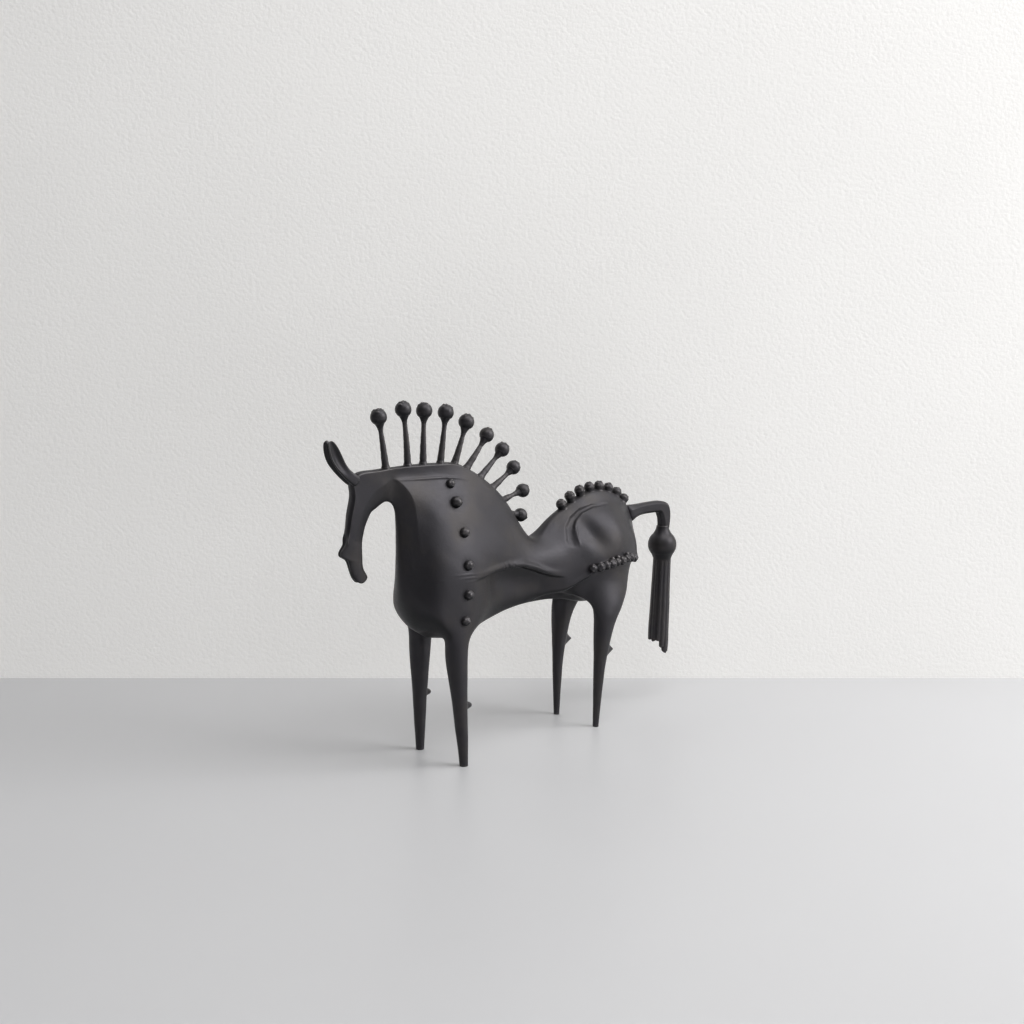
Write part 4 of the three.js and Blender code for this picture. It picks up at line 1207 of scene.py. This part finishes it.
class HORSE_OT_tail_bar(Operator):
    """Forges the flat-sided bar of the tail, bent down to the tassel"""
    bl_idname = "horse.tail_bar"
    bl_label = "Tail bar"

    def execute(self, context):
        mesh = loft(swept(TAIL_BAR, bar_section, 1), 4, BAR_CREASE)
        waved(mesh, 0.2)
        add_piece("tail_bar_cast", mesh, "tail_bar", body_finish())
        return {"FINISHED"}


def tassel_axis(z):
    """How far along x the leaning axis of the tassel is at a height."""
    (top_x, top_z), (foot_x, foot_z) = TASSEL["top"], TASSEL["foot"]
    return top_x + (foot_x - top_x) / (foot_z - top_z) * (z - top_z)


def tassel_strand(turn, draw, rings=9, sides=12):
    """One round strand at a turn about the axis, from its foot up to the collar."""
    way = np.array((math.cos(turn), math.sin(turn), 0))
    to_long = np.dot(way[:2], TASSEL["long_way"])
    end = mix(TASSEL["short"], TASSEL["long"], smooth_step(to_long, 0.05, 0.75))
    end += draw.uniform(-0.5, 0.5)
    turns = np.arange(sides) * 2 * math.pi / sides
    ring = np.column_stack([np.cos(turns), np.sin(turns), np.zeros(sides)])
    loops = []
    for share in np.linspace(0, 1, rings):
        z = mix(TASSEL["top"][1], end, share)
        thick = mix(*TASSEL["strand"], share) * draw.uniform(0.96, 1.03)
        if share == 1:
            thick *= TASSEL["cut_size"]
        middle = np.array((tassel_axis(z), 0, z)) + way * mix(*TASSEL["spread"], share)
        loop = middle + ring * thick
        loop[:, 2] -= TASSEL["cut_slant"] * share * (ring @ way)
        loops.append(loop)
    return np.vstack(loops[::-1]), tube_faces(rings, sides)


class HORSE_OT_tail_tassel(Operator):
    """Casts the ball and the fluted tassel of the tail"""
    bl_idname = "horse.tail_tassel"
    bl_label = "Tail tassel"

    def execute(self, context):
        centre = np.array(TAIL_BALL["centre"])
        shapes = [ball_points(centre, TAIL_BALL["radius"], 5)]
        for profile in (TAIL_NECK, TAIL_COLLAR):
            points, faces = turned(profile_curve(profile, 4), 40)
            shapes.append((points + centre, faces))
        draw = random.Random(400)
        count = TASSEL["strands"]
        shapes += [tassel_strand(2 * math.pi * (k + 0.35) / count, draw) for k in range(count)]
        core, faces = turned(TASSEL_CORE, 24)
        core[:, 0] += tassel_axis(core[:, 2])
        shapes.append((core, faces))
        mesh = fused(shapes, context.scene.horse_sizes.voxel / MM, 3)
        waved(mesh, 0.1)
        add_piece("tail_tassel_cast", mesh, "tail_tassel", tassel_finish())
        return {"FINISHED"}


# ---- Stage -------------------------------------------------------

def flat_sheet(half_width, half_length, finish):
    """A flat sheet with a fine grid."""
    shape = bmesh.new()
    bmesh.ops.create_grid(shape, x_segments=12, y_segments=12, size=1)
    bmesh.ops.scale(shape, vec=(half_width, half_length, 1), verts=shape.verts)
    mesh = bpy.data.meshes.new("sheet")
    shape.to_mesh(mesh)
    shape.free()
    mesh.materials.append(finish)
    return mesh


def painted_floor(colour):
    bench = Bench("painted_floor")
    clouds = bench.noise(0.22, detail=3)
    fine = bench.noise(1.2 * MM, detail=3)
    tone = bench.blend(clouds.between(0.3, 0.7), opaque([c * 0.985 for c in colour]),
                       opaque(colour))
    ripple = bench.node("ShaderNodeBump", {}, {"Strength": 0.12, "Distance": 0.1 * MM,
                                               "Height": fine})
    return bench.finish(bench.node("ShaderNodeBsdfPrincipled", {}, {
        "Base Color": tone, "Roughness": 0.4 + (clouds - 0.5) * 0.08,
        "Normal": ripple.outputs["Normal"]}))


def plastered_wall(colour, glow):
    """Fine stippled plaster, seen from the room side only."""
    bench = Bench("plastered_wall")
    stipple = bench.noise(3.2 * MM, detail=4, rough=0.55)
    clouds = bench.noise(0.3, detail=3)
    tone = bench.blend(clouds.between(0.3, 0.7), opaque([c * 0.97 for c in colour]),
                       opaque(colour))
    relief = bench.node("ShaderNodeBump", {}, {"Strength": 0.5, "Distance": 1.2 * MM,
                                               "Height": stipple})
    plaster = bench.node("ShaderNodeBsdfPrincipled", {}, {
        "Base Color": tone, "Roughness": 0.9, "Normal": relief.outputs["Normal"],
        "Emission Color": tone, "Emission Strength": glow})
    clear = bench.node("ShaderNodeBsdfTransparent", {}, {})
    back = bench.node("ShaderNodeNewGeometry", {}, {}).outputs["Backfacing"]
    return bench.finish(bench.node("ShaderNodeMixShader", {}, {
        0: back, 1: plaster.outputs[0], 2: clear.outputs[0]}))


def place_stage_object(name, data, place, turn):
    thing = bpy.data.objects.new(name, data)
    thing.location = place
    thing.rotation_euler = turn
    bpy.context.scene.collection.objects.link(thing)
    return thing


def soft_light(name, place, target, size, power):
    lamp = bpy.data.lights.new(name, "AREA")
    lamp.shape = "RECTANGLE"
    lamp.size, lamp.size_y = size
    lamp.energy = power
    turn = (Vector(target) - Vector(place)).to_track_quat("-Z", "Y").to_euler()
    place_stage_object(name, lamp, place, turn)


class HORSE_OT_stage(Operator):
    """Sets the floor, the wall, the soft lights and the camera"""
    bl_idname = "horse.stage"
    bl_label = "Stage"

    def execute(self, context):
        look = context.scene.horse_stage
        ahead = Vector((math.sin(look.camera_pan), math.cos(look.camera_pan), 0))
        right = Vector((ahead.y, -ahead.x, 0))
        low, high = CAD_BOX
        middle = (low + high) / 2

        sheet = flat_sheet(*FLOOR_REACH, painted_floor(look.floor_colour))
        floor = place_stage_object("studio_floor", sheet, (0, 0, low.z), (0, 0, 0))

        sheet = flat_sheet(*WALL_REACH, plastered_wall(look.wall_colour, look.wall_glow))
        foot = Vector(look.camera_place) + ahead * look.wall_distance
        wall = place_stage_object("studio_wall", sheet,
                                  (foot.x, foot.y, WALL_REACH[1] + low.z),
                                  (math.pi / 2, 0, -look.camera_pan))

        powers = {"window_light": look.window_power, "ceiling_light": look.ceiling_power}
        for name, ((aside, forward, above), size) in LIGHTS.items():
            place = middle + right * aside + ahead * forward + Vector((0, 0, above))
            soft_light(name, place, middle, size, powers[name])

        room = bpy.data.worlds.new("studio_room")
        room.use_nodes = True
        air = room.node_tree.nodes["Background"]
        air.inputs["Color"].default_value = AIR_COLOUR
        air.inputs["Strength"].default_value = look.room_light
        context.scene.world = room
        context.scene.view_settings.view_transform = "Standard"

        lens = bpy.data.cameras.new("studio_camera")
        lens.lens = look.lens
        turn = (math.pi / 2 - look.camera_tilt, 0, -look.camera_pan)
        context.scene.camera = place_stage_object("studio_camera", lens, look.camera_place,
                                                  turn)
        return {"FINISHED"}


class HORSE_PT_panel(Panel):
    """Lists the castings and their settings"""
    bl_label = "Cast Bronze Horse"
    bl_idname = "HORSE_PT_panel"
    bl_space_type = "VIEW_3D"
    bl_region_type = "UI"
    bl_category = "Horse"

    def draw(self, context):
        for group in ("horse_sizes", "horse_patina", "horse_stage"):
            settings = getattr(context.scene, group)
            box = self.layout.box()
            for name in type(settings).__annotations__:
                box.prop(settings, name)
        for piece in PIECES:
            self.layout.operator(piece.bl_idname)


SETTINGS = {"horse_sizes": CastingSizes, "horse_patina": PatinaLook, "horse_stage": StageLook}
PIECES = (HORSE_OT_stage, HORSE_OT_fore_body, HORSE_OT_hind_body, HORSE_OT_head, HORSE_OT_legs,
          HORSE_OT_mane_pins, HORSE_OT_croup_beads, HORSE_OT_shoulder_studs,
          HORSE_OT_haunch_beads, HORSE_OT_ears, HORSE_OT_tail_bar, HORSE_OT_tail_tassel)


def register():
    for group in (*SETTINGS.values(), *PIECES, HORSE_PT_panel):
        bpy.utils.register_class(group)
    for name, group in SETTINGS.items():
        setattr(bpy.types.Scene, name, PointerProperty(type=group))


def unregister():
    for name in SETTINGS:
        delattr(bpy.types.Scene, name)
    for group in reversed((*SETTINGS.values(), *PIECES, HORSE_PT_panel)):
        bpy.utils.unregister_class(group)


def main():
    register()
    for piece in PIECES:
        step = getattr(bpy.ops.horse, piece.bl_idname.split(".")[1])
        if step() != {"FINISHED"}:
            raise RuntimeError(f"{piece.bl_label} didn't finish")
    bpy.data.meshes.remove(whole_skin()[0])


if __name__ == "__main__":
    main()
